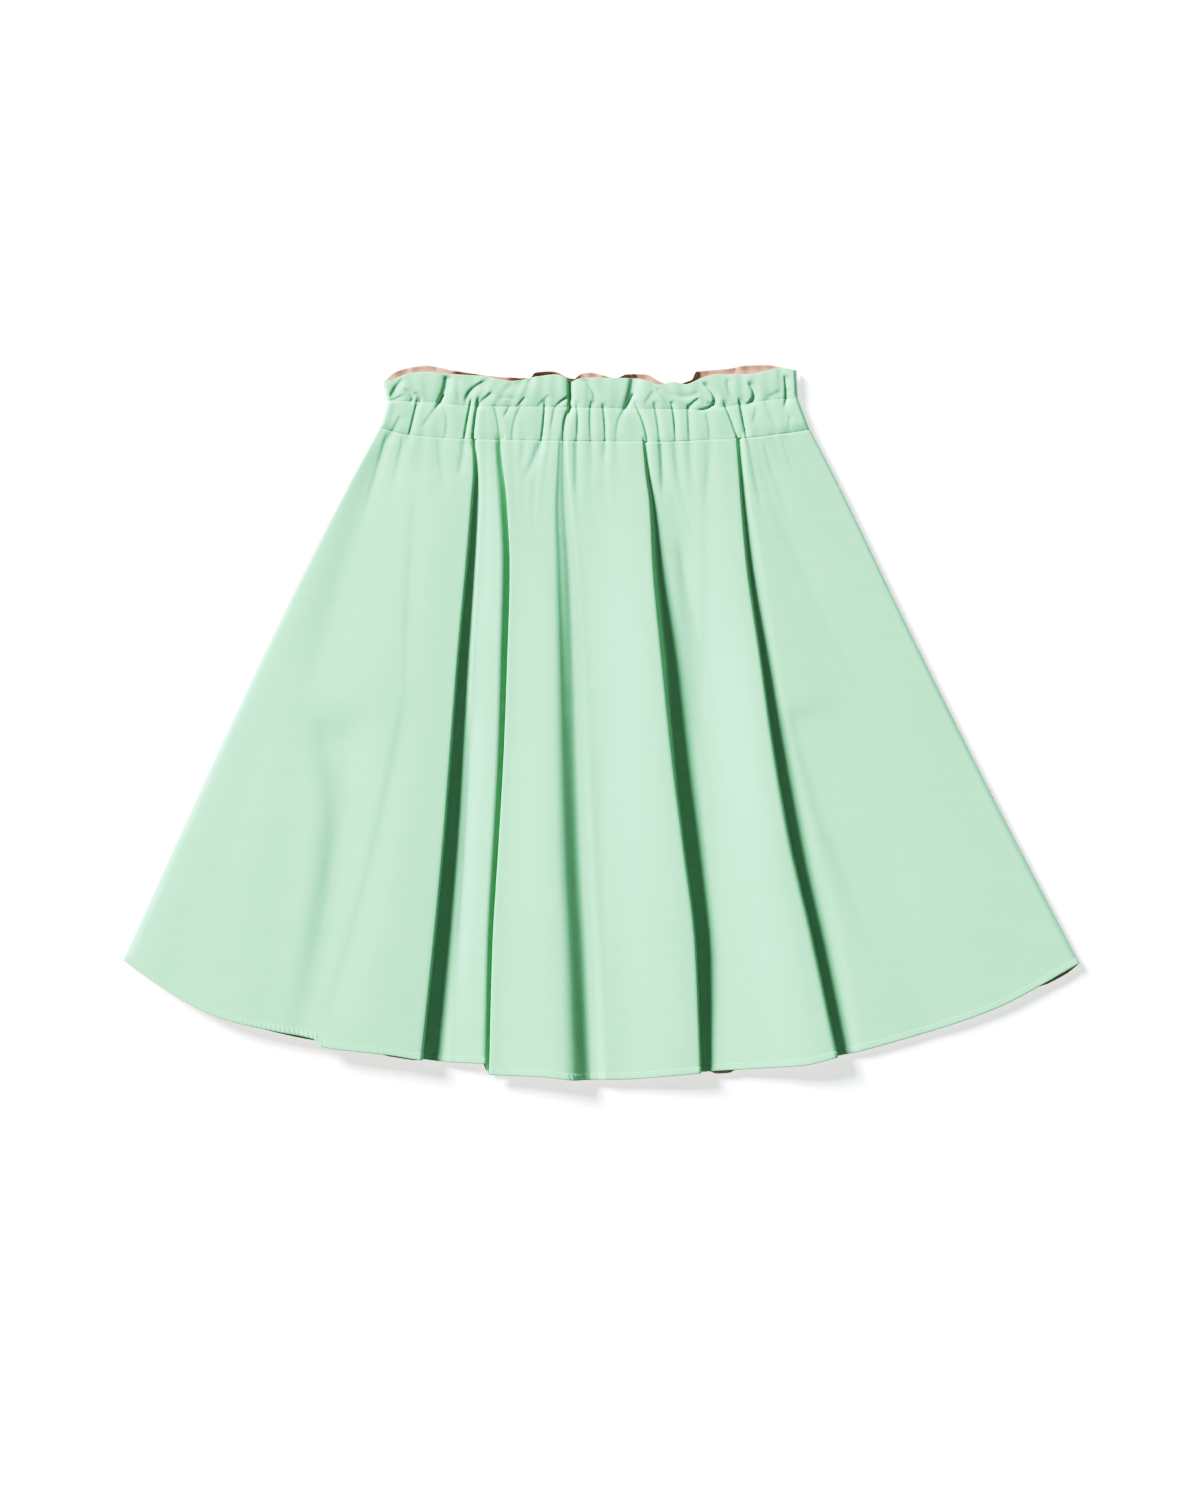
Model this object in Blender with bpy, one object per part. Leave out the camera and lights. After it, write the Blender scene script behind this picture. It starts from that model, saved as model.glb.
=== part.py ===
"""Gathered skirt with a paper-bag waist, laid flat on its back.

Two layers of cloth: a mint outer skirt over a rose inner one, both drawn in at the waist
by a cased band that ends in a free ruffle. +Z is up from the surface that the skirt lies
on, +Y runs from hem to waist, and the origin is at the bottom centre of the whole skirt.

Each piece of cloth is a closed wall lofted through sections that run from the left side
to the right. Sizes are in millimetres and become metres when a wall is made.
"""
from collections import namedtuple

import bpy
import numpy as np

METRES = 0.001

# Cloth walls, from the surface up: back outer, back inner, front inner, front outer.
CLOTH = 1.0
SEAM_GAP = 0.3
LAYER = CLOTH + SEAM_GAP
BACK_OUTER_Z = CLOTH / 2
BACK_INNER_Z = BACK_OUTER_Z + LAYER
FRONT_LOWEST_Z = BACK_INNER_Z + 2 * LAYER
LEAST_MITRE = 0.25

# Shares of the way from the waist seam (0) to the hem (1) where the skirt is measured,
# and those where its walls have a section.
STATIONS = np.array([0.0, 0.10, 0.35, 0.65, 1.0])
FRONT_ROWS = (0.0, 0.04, 0.10, 0.20, 0.35, 0.50, 0.65, 0.80, 0.91, 1.0)
BACK_ROWS = (0.0, 0.10, 0.28, 0.46, 0.64, 0.82, 1.0)

# The side seams, across from the middle, at the stations.
LEFT_SIDE = (-137.0, -155.0, -196.5, -243.0, -295.5)
RIGHT_SIDE = (129.0, 146.0, 186.0, 235.5, 295.5)

# Outlines up and down the skirt: across, along.
Spot = namedtuple("Spot", "across along")
WAIST_SEAM = [Spot(*row) for row in (
    (-137.0, 182.5), (-117.5, 177.5), (-81.5, 175.0), (-25.5, 174.0), (30.0, 173.5),
    (83.0, 175.5), (117.0, 179.0), (129.0, 181.0))]
FRONT_HEM = [Spot(*row) for row in (
    (-295.5, -147.0), (-255.0, -173.5), (-214.0, -188.0), (-177.0, -195.5),
    (-172.5, -200.5), (-131.0, -205.0), (-85.5, -210.0), (-72.0, -211.5),
    (-69.5, -218.0), (-36.0, -218.5), (-2.0, -221.0), (39.5, -218.5), (94.0, -214.0),
    (145.5, -206.5), (158.0, -204.0), (204.0, -191.0), (249.5, -174.5),
    (295.5, -149.5))]
BACK_HEM = [Spot(*row) for row in (
    (-295.5, -147.5), (-255.0, -173.5), (-214.0, -189.0), (-172.5, -198.0),
    (-100.0, -206.5), (-40.0, -215.5), (10.0, -217.5), (60.0, -215.0), (120.0, -209.5),
    (158.0, -202.0), (204.0, -191.0), (249.5, -175.0), (272.0, -165.5),
    (295.5, -151.5))]
NECK = [Spot(*row) for row in (
    (-136.0, 199.0), (-101.0, 197.5), (-81.5, 195.5), (-44.0, 195.0), (49.0, 193.5),
    (65.5, 193.5), (86.0, 196.5), (112.5, 200.0), (123.0, 200.5))]
FRONT_RUFFLE_EDGE = [Spot(*row) for row in (
    (-135.0, 211.0), (-127.5, 213.0), (-117.5, 216.5), (-107.5, 217.0), (-97.5, 216.0),
    (-72.5, 214.5), (-55.5, 211.5), (-38.0, 214.5), (-28.0, 215.5), (-22.0, 214.0),
    (-19.0, 211.5), (-13.0, 213.0), (21.5, 213.0), (36.5, 209.0), (44.0, 211.0),
    (52.5, 209.5), (61.0, 213.0), (71.0, 215.5), (91.0, 215.5), (101.0, 217.5),
    (111.0, 219.5), (120.5, 216.0))]
BACK_RUFFLE_EDGE = [Spot(*row) for row in (
    (-134.5, 211.5), (-127.5, 217.0), (-117.5, 220.0), (-108.5, 221.0), (-90.0, 217.5),
    (-63.0, 214.0), (-44.0, 213.5), (-38.0, 216.5), (-30.5, 217.0), (-16.5, 212.0),
    (-12.0, 216.0), (-7.0, 216.5), (9.0, 213.0), (16.5, 215.5), (27.0, 215.5),
    (36.5, 211.5), (44.0, 209.5), (56.0, 211.5), (59.5, 217.5), (80.0, 219.5),
    (88.5, 221.0), (102.0, 221.5), (117.0, 218.5))]

# Heights of the front outer cloth's middle line: at the waist seam, on the open side
# panels, and across the rolled sides from the side seam inwards. A panel swells between
# its ends by PANEL_SWELL times what they lack of its height.
SEAM_Z = 5.9
PANEL_Z = 7.2
PANEL_SWELL = 1.4
SIDE_ROLL_Z = (2.0, 4.0, 5.6)
SIDE_ROLL_WAIST = (0.0, 1.3, 3.0)
SIDE_ROLL_LOWER = (0.0, 2.5, 9.0)
# The rose back stands this far inside the side seams, under the rolled sides.
LINING_INSET = 2.8

# Section of a deep fold. Its edge turns down on ROLL_RADIUS through ROLL_SHARE of the
# drop. Untucked, the wall's foot lies OPEN_FOOT of the width out from the edge; tucked
# right in, it lies UNDERCUT of the drop behind the edge, and the valley begins
# VALLEY_START further on. The facing slope keeps LEAST_SLOPE of room.
ROLL_RADIUS = 2.4
ROLL_SHARE = 0.5
OPEN_FOOT = 0.30
UNDERCUT = 0.16
VALLEY_START = 1.0
VALLEY_SHARE = 0.12
SOFT_SLOPE = 0.62
LEAST_SLOPE = 0.9
FOOT_Z = 1.2
FOOT_SHARE = 0.3
VALLEY_TILT = 0.1

# The deep folds. over is the side whose panel lies on top; edge is that panel's free
# edge and far the top of the facing slope. drop is how far the edge stands above the
# valley floor and rise how far the facing slope climbs, all four at the stations. floor
# is the valley's height, tuck (waist, hem) how far the edge hangs over the valley, and
# slope (waist, hem) how gently the facing side rises.
Fold = namedtuple("Fold", "name over edge far drop rise floor tuck slope")
FOLDS = (
    Fold("a", "left",
         (-81.5, -80.0, -89.0, -99.0, -112.0), (-76.5, -74.0, -80.0, -87.0, -96.5),
         (1.7, 4.0, 5.8, 7.6, 9.0), (1.5, 3.0, 4.2, 5.0, 5.8), 4.5, (0.6, 1.0), (0.5, 0.6)),
    Fold("b", "right",
         (-61.0, -58.5, -58.5, -64.0, -69.5), (-69.0, -67.0, -66.5, -69.5, -74.5),
         (1.6, 4.0, 6.2, 7.2, 7.8), (1.5, 3.0, 4.4, 5.2, 6.0), 4.5, (0.2, 1.0), (0.7, 0.8)),
    Fold("c", "left",
         (-27.0, -30.0, -28.0, -24.0, -18.5), (-21.0, -22.0, -17.0, -11.5, -2.0),
         (0.9, 3.0, 3.4, 4.6, 6.2), (0.9, 2.6, 3.2, 4.0, 5.0), 5.0, (0.0, 0.6), (0.8, 0.9)),
    Fold("d", "left",
         (23.0, 30.0, 36.5, 50.5, 60.5), (29.0, 41.5, 63.5, 67.0, 69.0),
         (1.6, 4.6, 8.4, 9.6, 9.2), (1.5, 3.0, 5.0, 6.4, 7.4), 4.5, (0.3, 1.0), (1.0, 0.0)),
    Fold("e", "left",
         (82.5, 87.0, 98.5, 117.0, 145.5), (88.0, 93.0, 107.5, 131.5, 160.0),
         (1.6, 3.4, 5.6, 8.0, 8.6), (1.5, 2.2, 2.8, 3.2, 3.6), 4.5, (0.6, 1.0), (0.6, 0.8)),
)

# Soft troughs that run down the open panels: middle at the stations, depth at the waist
# and at the hem, and width.
Trough = namedtuple("Trough", "middle waist_depth hem_depth width")
TROUGHS = [Trough(*row) for row in (
    ((-134.0, -143.0, -168.0, -187.0, -203.0), 0.4, 1.6, 15.0),
    ((-113.5, -117.5, -124.0, -142.0, -177.0), 0.5, 1.3, 6.0),
    ((-12.0, 3.5, 6.0, 10.0, 22.0), 0.3, 0.7, 9.0),
    ((-46.0, -47.0, -49.0, -50.0, -53.0), 0.3, 0.6, 8.0),
    ((47.0, 50.0, 68.0, 88.0, 108.0), 0.5, 0.8, 10.0),
    ((-73.0, -70.5, -76.0, -83.0, -92.0), 0.0, 1.0, 3.5),
    ((92.0, 104.0, 138.0, 170.0, 202.0), 0.4, 1.2, 12.0),
    ((120.0, 136.0, 166.0, 206.0, 240.0), 0.4, 1.2, 14.0))]

# The gathers, left to right: where each groove crosses the ruffle's edge, the neck
# stitching, the waist seam, the skirt 35 mm lower and the hem, then how deep it is in the
# ruffle, in the casing and just under the seam.
Gather = namedtuple("Gather", "edge neck seam skirt hem ruffle_dip casing_dip skirt_dip")
GATHERS = [Gather(*row) for row in (
    (-127.0, -127.0, -130.5, -146.0, -235.0, 2.4, 1.6, 1.1),
    (-117.5, -114.5, -121.0, -130.0, -182.0, 1.3, 1.4, 0.9),
    (-108.0, -108.5, -110.5, -113.5, -172.0, 0.7, 1.7, 0.9),
    (-95.0, -100.0, -100.5, -99.5, -143.0, 3.0, 1.3, 0.7),
    (-78.0, -84.0, -85.5, -88.0, -125.0, 1.6, 2.2, 0.0),
    (-69.0, -76.5, -79.5, -78.5, -112.0, 1.9, 2.3, 0.0),
    (-62.0, -71.5, -71.5, -70.5, -91.0, 0.5, 0.5, 0.3),
    (-55.0, -66.0, -63.5, -62.0, -70.0, 1.0, 1.4, 0.0),
    (-49.0, -57.0, -54.5, -53.5, -60.0, 0.6, 1.6, 0.8),
    (-43.0, -50.0, -48.0, -47.5, -50.5, 2.4, 1.4, 0.6),
    (-36.0, -36.0, -37.5, -42.0, -41.0, 1.3, 2.2, 1.2),
    (-28.0, -28.5, -31.0, -36.0, -30.0, 1.2, 1.4, 0.6),
    (-20.0, -20.0, -23.5, -25.0, -19.0, 3.6, 2.0, 0.0),
    (-13.5, -13.5, -15.5, -14.5, 10.0, 0.7, 1.7, 1.2),
    (-8.0, -7.0, -6.5, -6.0, 22.0, 1.7, 1.4, 0.9),
    (1.0, 0.5, 1.5, 3.5, 34.0, 1.1, 1.8, 1.0),
    (11.0, 9.5, 8.5, 10.0, 47.0, 0.8, 1.3, 0.8),
    (22.0, 19.5, 24.0, 30.0, 60.0, 3.0, 1.9, 0.0),
    (33.0, 32.0, 36.0, 45.5, 82.0, 1.4, 1.6, 1.2),
    (41.0, 43.5, 45.0, 51.5, 97.0, 2.0, 1.6, 1.0),
    (50.0, 54.0, 54.0, 58.0, 111.0, 1.9, 1.3, 0.8),
    (60.0, 65.0, 66.0, 67.0, 127.0, 3.4, 1.5, 0.9),
    (78.0, 78.0, 82.0, 87.0, 145.0, 1.7, 2.1, 0.0),
    (87.0, 87.5, 88.5, 92.0, 158.0, 2.4, 2.2, 0.0),
    (95.5, 95.5, 96.5, 102.0, 186.0, 0.8, 1.0, 0.6),
    (103.0, 103.5, 107.0, 117.0, 216.0, 1.0, 0.9, 0.6),
    (111.0, 112.0, 115.5, 131.0, 250.0, 2.8, 1.0, 0.6))]
# The gathers on each open panel; the others run into the deep folds.
PANEL_GATHERS = (GATHERS[0:4], GATHERS[6:7], GATHERS[8:12], GATHERS[13:17],
                 GATHERS[18:22], GATHERS[24:27])
GATHERS_FADE_BY = 0.18

# The waistband's rows, as shares of the casing's height and then of the ruffle's, and
# its ends at the seam, the neck stitching and the ruffle's edge.
CASING_ROWS = (0.0, 0.30, 0.70, 1.0)
RUFFLE_ROWS = (0.18, 0.50, 0.80, 1.0)
BAND_LEFT = (-137.0, -132.0, -135.0)
BAND_RIGHT = (129.0, 121.5, 120.5)
BAND_END_INSETS = (0.0, 1.2, 3.2)
BAND_END_Z = (2.0, 3.6, 5.0)
CASING_Z = 7.4
NECK_Z = 5.8
RUFFLE_EDGE_Z = 8.6
# Half the width of a groove at the casing and at the ruffle's edge, and its most as a
# share of the room between grooves. Its two lips stand below the crests by shares of its
# depth, which grows from the seam and the neck to the casing's middle.
GROOVE_HALF = (1.7, 2.6)
GROOVE_ROOM = 0.32
LEFT_LIP, RIGHT_LIP = 0.10, 0.40
SEAM_DEPTH, NECK_DEPTH, BULGE_DEPTH = 0.7, 0.6, 0.4
BACK_RUFFLE_RISE = 1.4


def eased(places, values, at):
    """Smooth curve through values at places, which never swings past them."""
    places, values = np.asarray(places, float), np.asarray(values, float)
    steps = np.diff(places)
    rises = np.diff(values) / steps
    before, after = rises[:-1], rises[1:]
    same_way = before * after > 0
    slopes = np.concatenate([rises[:1], np.zeros(len(before)), rises[-1:]])
    slopes[1:-1][same_way] = (2 * before * after)[same_way] / (before + after)[same_way]
    start = np.clip(np.searchsorted(places, at, side="right") - 1, 0, len(steps) - 1)
    t = (at - places[start]) / steps[start]
    rise = values[start + 1] - values[start]
    first, last = slopes[start] * steps[start], slopes[start + 1] * steps[start]
    return (values[start] + t * first + t * t * (3 * rise - 2 * first - last)
            + t ** 3 * (first + last - 2 * rise))


def along(values, share):
    """Value at a share of the way from seam to hem, eased through the stations."""
    return eased(STATIONS, values, share)


def between(pair, share):
    """Value at a share of the way from the first of a pair to the second."""
    return pair[0] + (pair[1] - pair[0]) * share


def follow(outline, across):
    """How far up the skirt an outline lies at the places across it."""
    places = [spot.across for spot in outline]
    across = np.clip(across, places[0], places[-1])
    return eased(places, [spot.along for spot in outline], across)


def fold_points(fold, share):
    """Section of one deep fold, as places across and heights, left to right: the edge
    that rolls over, the wall down to the valley and the slope on the facing side."""
    edge = along(fold.edge, share)
    width = abs(along(fold.far, share) - edge)
    drop, rise = along(fold.drop, share), along(fold.rise, share)
    tuck = between(fold.tuck, share)
    turn = np.arccos(1 - min(1.0, ROLL_SHARE * drop / ROLL_RADIUS))
    roll_turns = np.array([0, turn / 2, turn])
    roll_in = ROLL_RADIUS * (np.sin(roll_turns) - np.sin(turn))
    roll_z = drop - ROLL_RADIUS * (1 - np.cos(roll_turns))
    wall_foot = between((OPEN_FOOT * width, -UNDERCUT * drop), tuck)
    valley_start = wall_foot + between((VALLEY_SHARE * width, VALLEY_START), tuck)
    soft_foot = width * (1 - SOFT_SLOPE * between(fold.slope, share))
    slope_foot = max(valley_start + VALLEY_SHARE * width, soft_foot)
    slope_foot = min(slope_foot, width - LEAST_SLOPE)
    into = np.array([*roll_in, wall_foot, valley_start, slope_foot,
                     (slope_foot + width) / 2, width])
    foot_z = min(FOOT_Z, FOOT_SHARE * drop)
    height = fold.floor + np.array([*roll_z, foot_z, 0, VALLEY_TILT, rise / 2, rise])
    if fold.over == "left":
        return edge + into, height
    return (edge - into)[::-1], height[::-1]


def gather_shares(grooves, start, end):
    """Where an open panel's crests and grooves lie, as shares of its width: a crest,
    then each groove with a crest after it."""
    places = [start, *grooves, end]
    crests = [(a + b) / 2 for a, b in zip(places, places[1:])]
    points = [place for pair in zip(crests, grooves) for place in pair] + [crests[-1]]
    return (np.array(points) - start) / (end - start)


def panel_points(gathers, spans, share):
    """Section of the open panel between two folds, as places across it and the dips of
    its gathers. spans holds its two ends at the waist seam, where the gathers spread, at
    the hem and here. Lower down the points keep to their shares of the hem."""
    at_seam = gather_shares([gather.seam for gather in gathers], *spans[0])
    lower = gather_shares([gather.skirt for gather in gathers], *spans[1])
    at_hem = gather_shares([gather.hem for gather in gathers], *spans[2])
    near = min(share / STATIONS[1], 1.0)
    spread = np.clip((share - STATIONS[1]) / (STATIONS[2] - STATIONS[1]), 0.0, 1.0)
    shares = between((between((at_seam, lower), near), at_hem), spread)
    dips = np.zeros(len(shares))
    dips[1::2] = [gather.skirt_dip for gather in gathers]
    return shares, dips * max(0.0, 1 - share / GATHERS_FADE_BY) ** 1.5


def side_points(side, share, inward):
    """Section of the rolled side: it rises from the side seam to the panel."""
    widen = min(share / STATIONS[2], 1.0)
    insets = between((np.array(SIDE_ROLL_WAIST), np.array(SIDE_ROLL_LOWER)), widen)
    return side + inward * insets, np.array(SIDE_ROLL_Z)


def trough_depth(across, share):
    """How far the soft troughs lower the panels at places across."""
    depth = np.zeros_like(across)
    for trough in TROUGHS:
        away = (across - along(trough.middle, share)) / trough.width
        depth += between((trough.waist_depth, trough.hem_depth), share) * np.exp(-away ** 2)
    return depth


def front_blocks(share):
    """The rolled sides and the deep folds, left to right."""
    left_roll = side_points(along(LEFT_SIDE, share), share, 1)
    right_roll = side_points(along(RIGHT_SIDE, share), share, -1)
    folds = [fold_points(fold, share) for fold in FOLDS]
    return [left_roll, *folds, tuple(part[::-1] for part in right_roll)]


def front_section(share):
    """The front outer cloth's middle line across the skirt at a share of its length."""
    stages = [front_blocks(at) for at in (0.0, STATIONS[1], 1.0, share)]
    blocks = stages[-1]
    across, height = [blocks[0][0]], [blocks[0][1]]
    for number, gathers in enumerate(PANEL_GATHERS):
        spans = [(stage[number][0][-1], stage[number + 1][0][0]) for stage in stages]
        start_z, end_z = blocks[number][1][-1], blocks[number + 1][1][0]
        t, dips = panel_points(gathers, spans, share)
        panel_x = between(spans[-1], t)
        swell = PANEL_SWELL * max(0.0, PANEL_Z - min(start_z, end_z)) * t * (1 - t)
        panel_z = between((start_z, end_z), t ** 2 * (3 - 2 * t)) + swell
        lowered = panel_z - dips - trough_depth(panel_x, share)
        across += [panel_x, blocks[number + 1][0]]
        height += [np.maximum(lowered, FRONT_LOWEST_Z), blocks[number + 1][1]]
    return np.concatenate(across), np.concatenate(height)


def moved_out(across, height, distance):
    """A section moved square to itself, keeping its points, with corners mitred as far
    as LEAST_MITRE lets them."""
    step_x, step_z = np.diff(across), np.diff(height)
    length = np.hypot(step_x, step_z)
    normal_x, normal_z = -step_z / length, step_x / length
    mean_x = np.concatenate([normal_x[:1], (normal_x[:-1] + normal_x[1:]) / 2, normal_x[-1:]])
    mean_z = np.concatenate([normal_z[:1], (normal_z[:-1] + normal_z[1:]) / 2, normal_z[-1:]])
    stretch = distance / np.maximum(mean_x ** 2 + mean_z ** 2, LEAST_MITRE)
    return across + mean_x * stretch, height + mean_z * stretch


def walled(sections, lift=0.0, inset=0):
    """Upper and lower faces of a cloth wall: rows of points from (across, along, height)
    sections of its middle line, moved out by lift and then by half the cloth each way.
    inset drops that many points at either side."""
    faces = []
    for distance in (lift + CLOTH / 2, lift - CLOTH / 2):
        rows = []
        for across, up_the_skirt, height in sections:
            moved = moved_out(across, height, distance)
            points = np.column_stack([moved[0], up_the_skirt, moved[1]])
            rows.append(points[inset:len(points) - inset])
        faces.append(np.array(rows))
    return faces


def cloth_material(name, colour):
    """Plain woven cotton in one colour."""
    material = bpy.data.materials.new(name)
    material.use_nodes = True
    shader = material.node_tree.nodes["Principled BSDF"]
    shader.inputs["Base Color"].default_value = (*colour, 1.0)
    shader.inputs["Roughness"].default_value = 0.85
    shader.inputs["Metallic"].default_value = 0.0
    return material


def make_wall(name, faces, material):
    """One closed body from the upper and lower faces, whose rows run from the waist
    towards the hem and whose columns run from left to right."""
    upper, lower = faces
    rows, columns = upper.shape[:2]
    points = np.concatenate([upper.reshape(-1, 3), lower.reshape(-1, 3)]) * METRES
    top = np.arange(rows * columns).reshape(rows, columns)
    bottom = top + rows * columns
    triangles = []

    def strip(first, second, facing_down=False):
        """Triangles between two lines of points, cut on the same diagonal either way."""
        for a, b, c, d in zip(first, first[1:], second[1:], second):
            pair = [(a, d, c), (a, c, b)]
            triangles.extend([t[::-1] for t in pair] if facing_down else pair)

    for row in range(rows - 1):
        strip(top[row], top[row + 1])
        strip(bottom[row], bottom[row + 1], facing_down=True)
    strip(bottom[0], top[0])
    strip(top[-1], bottom[-1])
    strip(top[:, 0], bottom[:, 0])
    strip(bottom[:, -1], top[:, -1])
    mesh = bpy.data.meshes.new(name)
    mesh.from_pydata(points.tolist(), [], [tuple(map(int, t)) for t in triangles])
    mesh.validate()
    mesh.shade_smooth()
    mesh.set_sharp_from_angle(angle=np.radians(60))
    mesh.materials.append(material)
    body = bpy.data.objects.new(name, mesh)
    bpy.context.scene.collection.objects.link(body)
    return body


def skirt_sections(rows, section, hem):
    """Sections with their places along the skirt: each point runs straight from the
    waist seam to the hem."""
    seam_line = follow(WAIST_SEAM, section(0.0)[0]) - SEAM_GAP / 2
    hem_line = follow(hem, section(1.0)[0])
    return [(section(share)[0], between((seam_line, hem_line), share), section(share)[1])
            for share in rows]


def flat_section(inset, height, columns=25):
    """A function that gives a flat section of the back between the side seams."""
    def section(share):
        across = np.linspace(along(LEFT_SIDE, share) + inset,
                             along(RIGHT_SIDE, share) - inset, columns)
        return across, np.full(columns, height)
    return section


def band_points(casing, ruffle):
    """Columns across the band at one row, and how far each stands below the crests, as
    its gather's number and share of that gather's dip. A groove has a lip at either side
    and a crest after it."""
    def at(seam, neck, edge):
        return between((between((seam, neck), casing), edge), ruffle)

    half = between(GROOVE_HALF, ruffle)
    start = at(*BAND_LEFT) + np.array(BAND_END_INSETS)
    end = at(*BAND_RIGHT) - np.array(BAND_END_INSETS)[::-1]
    grooves = [at(gather.seam, gather.neck, gather.edge) for gather in GATHERS]
    places = [start[-1] - half, *grooves, end[0] + half]
    across, dips = [], []
    for number, (before, groove, after) in enumerate(zip(places, places[1:], places[2:])):
        reach_left = min(half, GROOVE_ROOM * (groove - before))
        reach_right = min(half, GROOVE_ROOM * (after - groove))
        across += [groove - reach_left, groove, groove + reach_right, (groove + after) / 2]
        dips += [(number, LEFT_LIP), (number, 1.0), (number, RIGHT_LIP), (number, 0.0)]
    return np.array([*start, *across[:-1], *end]), dips[:-1]


def front_band_height(casing, ruffle):
    """Heights of the front band's columns: crests high, grooves low, ends rolled down."""
    bulge = 4 * casing * (1 - casing)
    base = between((SEAM_Z, NECK_Z), casing) + (CASING_Z - SEAM_Z) * bulge
    base = between((base, RUFFLE_EDGE_Z), ruffle)
    deepest = between((SEAM_DEPTH, NECK_DEPTH), casing) + BULGE_DEPTH * bulge
    height = []
    for number, share in band_points(casing, ruffle)[1]:
        gather = GATHERS[number]
        dip = between((gather.casing_dip * deepest, gather.ruffle_dip), ruffle)
        height.append(max(base - share * dip, FRONT_LOWEST_Z))
    return np.array([*BAND_END_Z, *height, *BAND_END_Z[::-1]])


def back_band_height(casing, ruffle):
    """Heights of the back band's columns: a flat casing, and ruffle crests lifted."""
    lifts = [BACK_RUFFLE_RISE * ruffle * share * min(GATHERS[number].ruffle_dip, 1.0)
             for number, share in band_points(casing, ruffle)[1]]
    flat = np.zeros(len(BAND_END_INSETS))
    return BACK_OUTER_Z + np.array([*flat, *lifts, *flat])


def band_sections(edge, heights, lips=True):
    """Sections of a waistband from the ruffle's edge down to the waist seam. Without
    lips, only its ends and the grooves and crests between them are kept."""
    rows = [(casing, 0.0) for casing in CASING_ROWS]
    rows += [(1.0, ruffle) for ruffle in RUFFLE_ROWS]
    ends = len(BAND_END_INSETS)
    count = len(band_points(0, 0)[0])
    kept = np.arange(count)
    if not lips:
        between_ends = (kept >= ends) & (kept < count - ends)
        kept = kept[~between_ends | ((kept - ends) % 2 == 1)]
    seam_y = follow(WAIST_SEAM, band_points(0, 0)[0]) + SEAM_GAP / 2
    neck_y = follow(NECK, band_points(1, 0)[0])
    edge_y = follow(edge, band_points(1, 1)[0])
    sections = []
    for casing, ruffle in reversed(rows):
        up_the_skirt = between((between((seam_y, neck_y), casing), edge_y), ruffle)
        section = band_points(casing, ruffle)[0], up_the_skirt, heights(casing, ruffle)
        sections.append(tuple(part[kept] for part in section))
    return sections


def clear_scene():
    for item in list(bpy.data.objects):
        bpy.data.objects.remove(item, do_unlink=True)


def build():
    clear_scene()
    mint = cloth_material("mint_cotton", (0.54, 0.79, 0.61))
    rose = cloth_material("rose_cotton", (0.70, 0.49, 0.38))

    front = skirt_sections(FRONT_ROWS, front_section, FRONT_HEM)
    make_wall("skirt_front", walled(front), mint)
    make_wall("lining_front", walled(front, lift=-LAYER, inset=1), rose)

    back = skirt_sections(BACK_ROWS, flat_section(0.0, BACK_OUTER_Z), BACK_HEM)
    make_wall("skirt_back", walled(back), mint)
    back_inner = flat_section(LINING_INSET, BACK_INNER_Z)
    make_wall("lining_back", walled(skirt_sections(BACK_ROWS, back_inner, BACK_HEM)), rose)

    front_band = band_sections(FRONT_RUFFLE_EDGE, front_band_height)
    make_wall("waistband_front", walled(front_band), mint)
    back_band = band_sections(BACK_RUFFLE_EDGE, back_band_height, lips=False)
    make_wall("waistband_back", walled(back_band), mint)
    make_wall("waistband_facing", walled(back_band, lift=LAYER, inset=2), rose)


build()
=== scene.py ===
"""Gathered skirt with a paper-bag waist, laid flat: mint cotton over rose cotton.

The sections follow the skirt as it is made: the outer skirt and its hem, the inner skirt,
the waist casing with its ruffle, and the sewing. Sizes are in millimetres. +X runs across
the skirt, +Y from hem to waist and +Z up from the table that it lies on.
"""
from collections import namedtuple

import bpy
import numpy as np
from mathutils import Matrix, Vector


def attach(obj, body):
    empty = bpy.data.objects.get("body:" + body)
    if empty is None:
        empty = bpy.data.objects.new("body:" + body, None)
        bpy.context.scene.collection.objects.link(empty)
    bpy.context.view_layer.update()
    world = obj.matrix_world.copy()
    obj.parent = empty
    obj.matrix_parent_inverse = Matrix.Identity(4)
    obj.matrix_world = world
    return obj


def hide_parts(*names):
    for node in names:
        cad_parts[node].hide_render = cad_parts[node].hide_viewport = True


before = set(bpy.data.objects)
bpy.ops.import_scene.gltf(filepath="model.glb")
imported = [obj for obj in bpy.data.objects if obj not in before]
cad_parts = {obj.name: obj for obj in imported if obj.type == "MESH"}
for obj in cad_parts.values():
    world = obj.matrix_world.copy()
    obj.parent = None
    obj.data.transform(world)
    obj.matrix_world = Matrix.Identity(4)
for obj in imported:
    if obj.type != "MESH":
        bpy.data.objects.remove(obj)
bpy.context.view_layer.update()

# The table, the light and the camera. The skirt lies on a white table that glows a little,
# and is photographed from straight above by a long lens. One soft lamp stands low on the
# left, a little towards the waist.
MM = 0.001
LENS_MM, SENSOR_MM = 85.0, 36.0
VIEW_HEIGHT = 930 * MM
VIEW_ACROSS, VIEW_ALONG = -0.8 * MM, -17.2 * MM
TABLE_SIZE, TABLE_DROP = 8.0, 0.1 * MM
TABLE_GLOW = 0.66
TABLE_WHITE = 0.93
LAMP_TRAVEL = (1.15, -1.02, -1.0)
LAMP_STRENGTH = 5.90
LAMP_SOFTNESS = np.radians(15)
FILL_STRENGTH = 0.16
FILL_COLOUR = (0.62, 0.97, 0.82)
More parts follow.
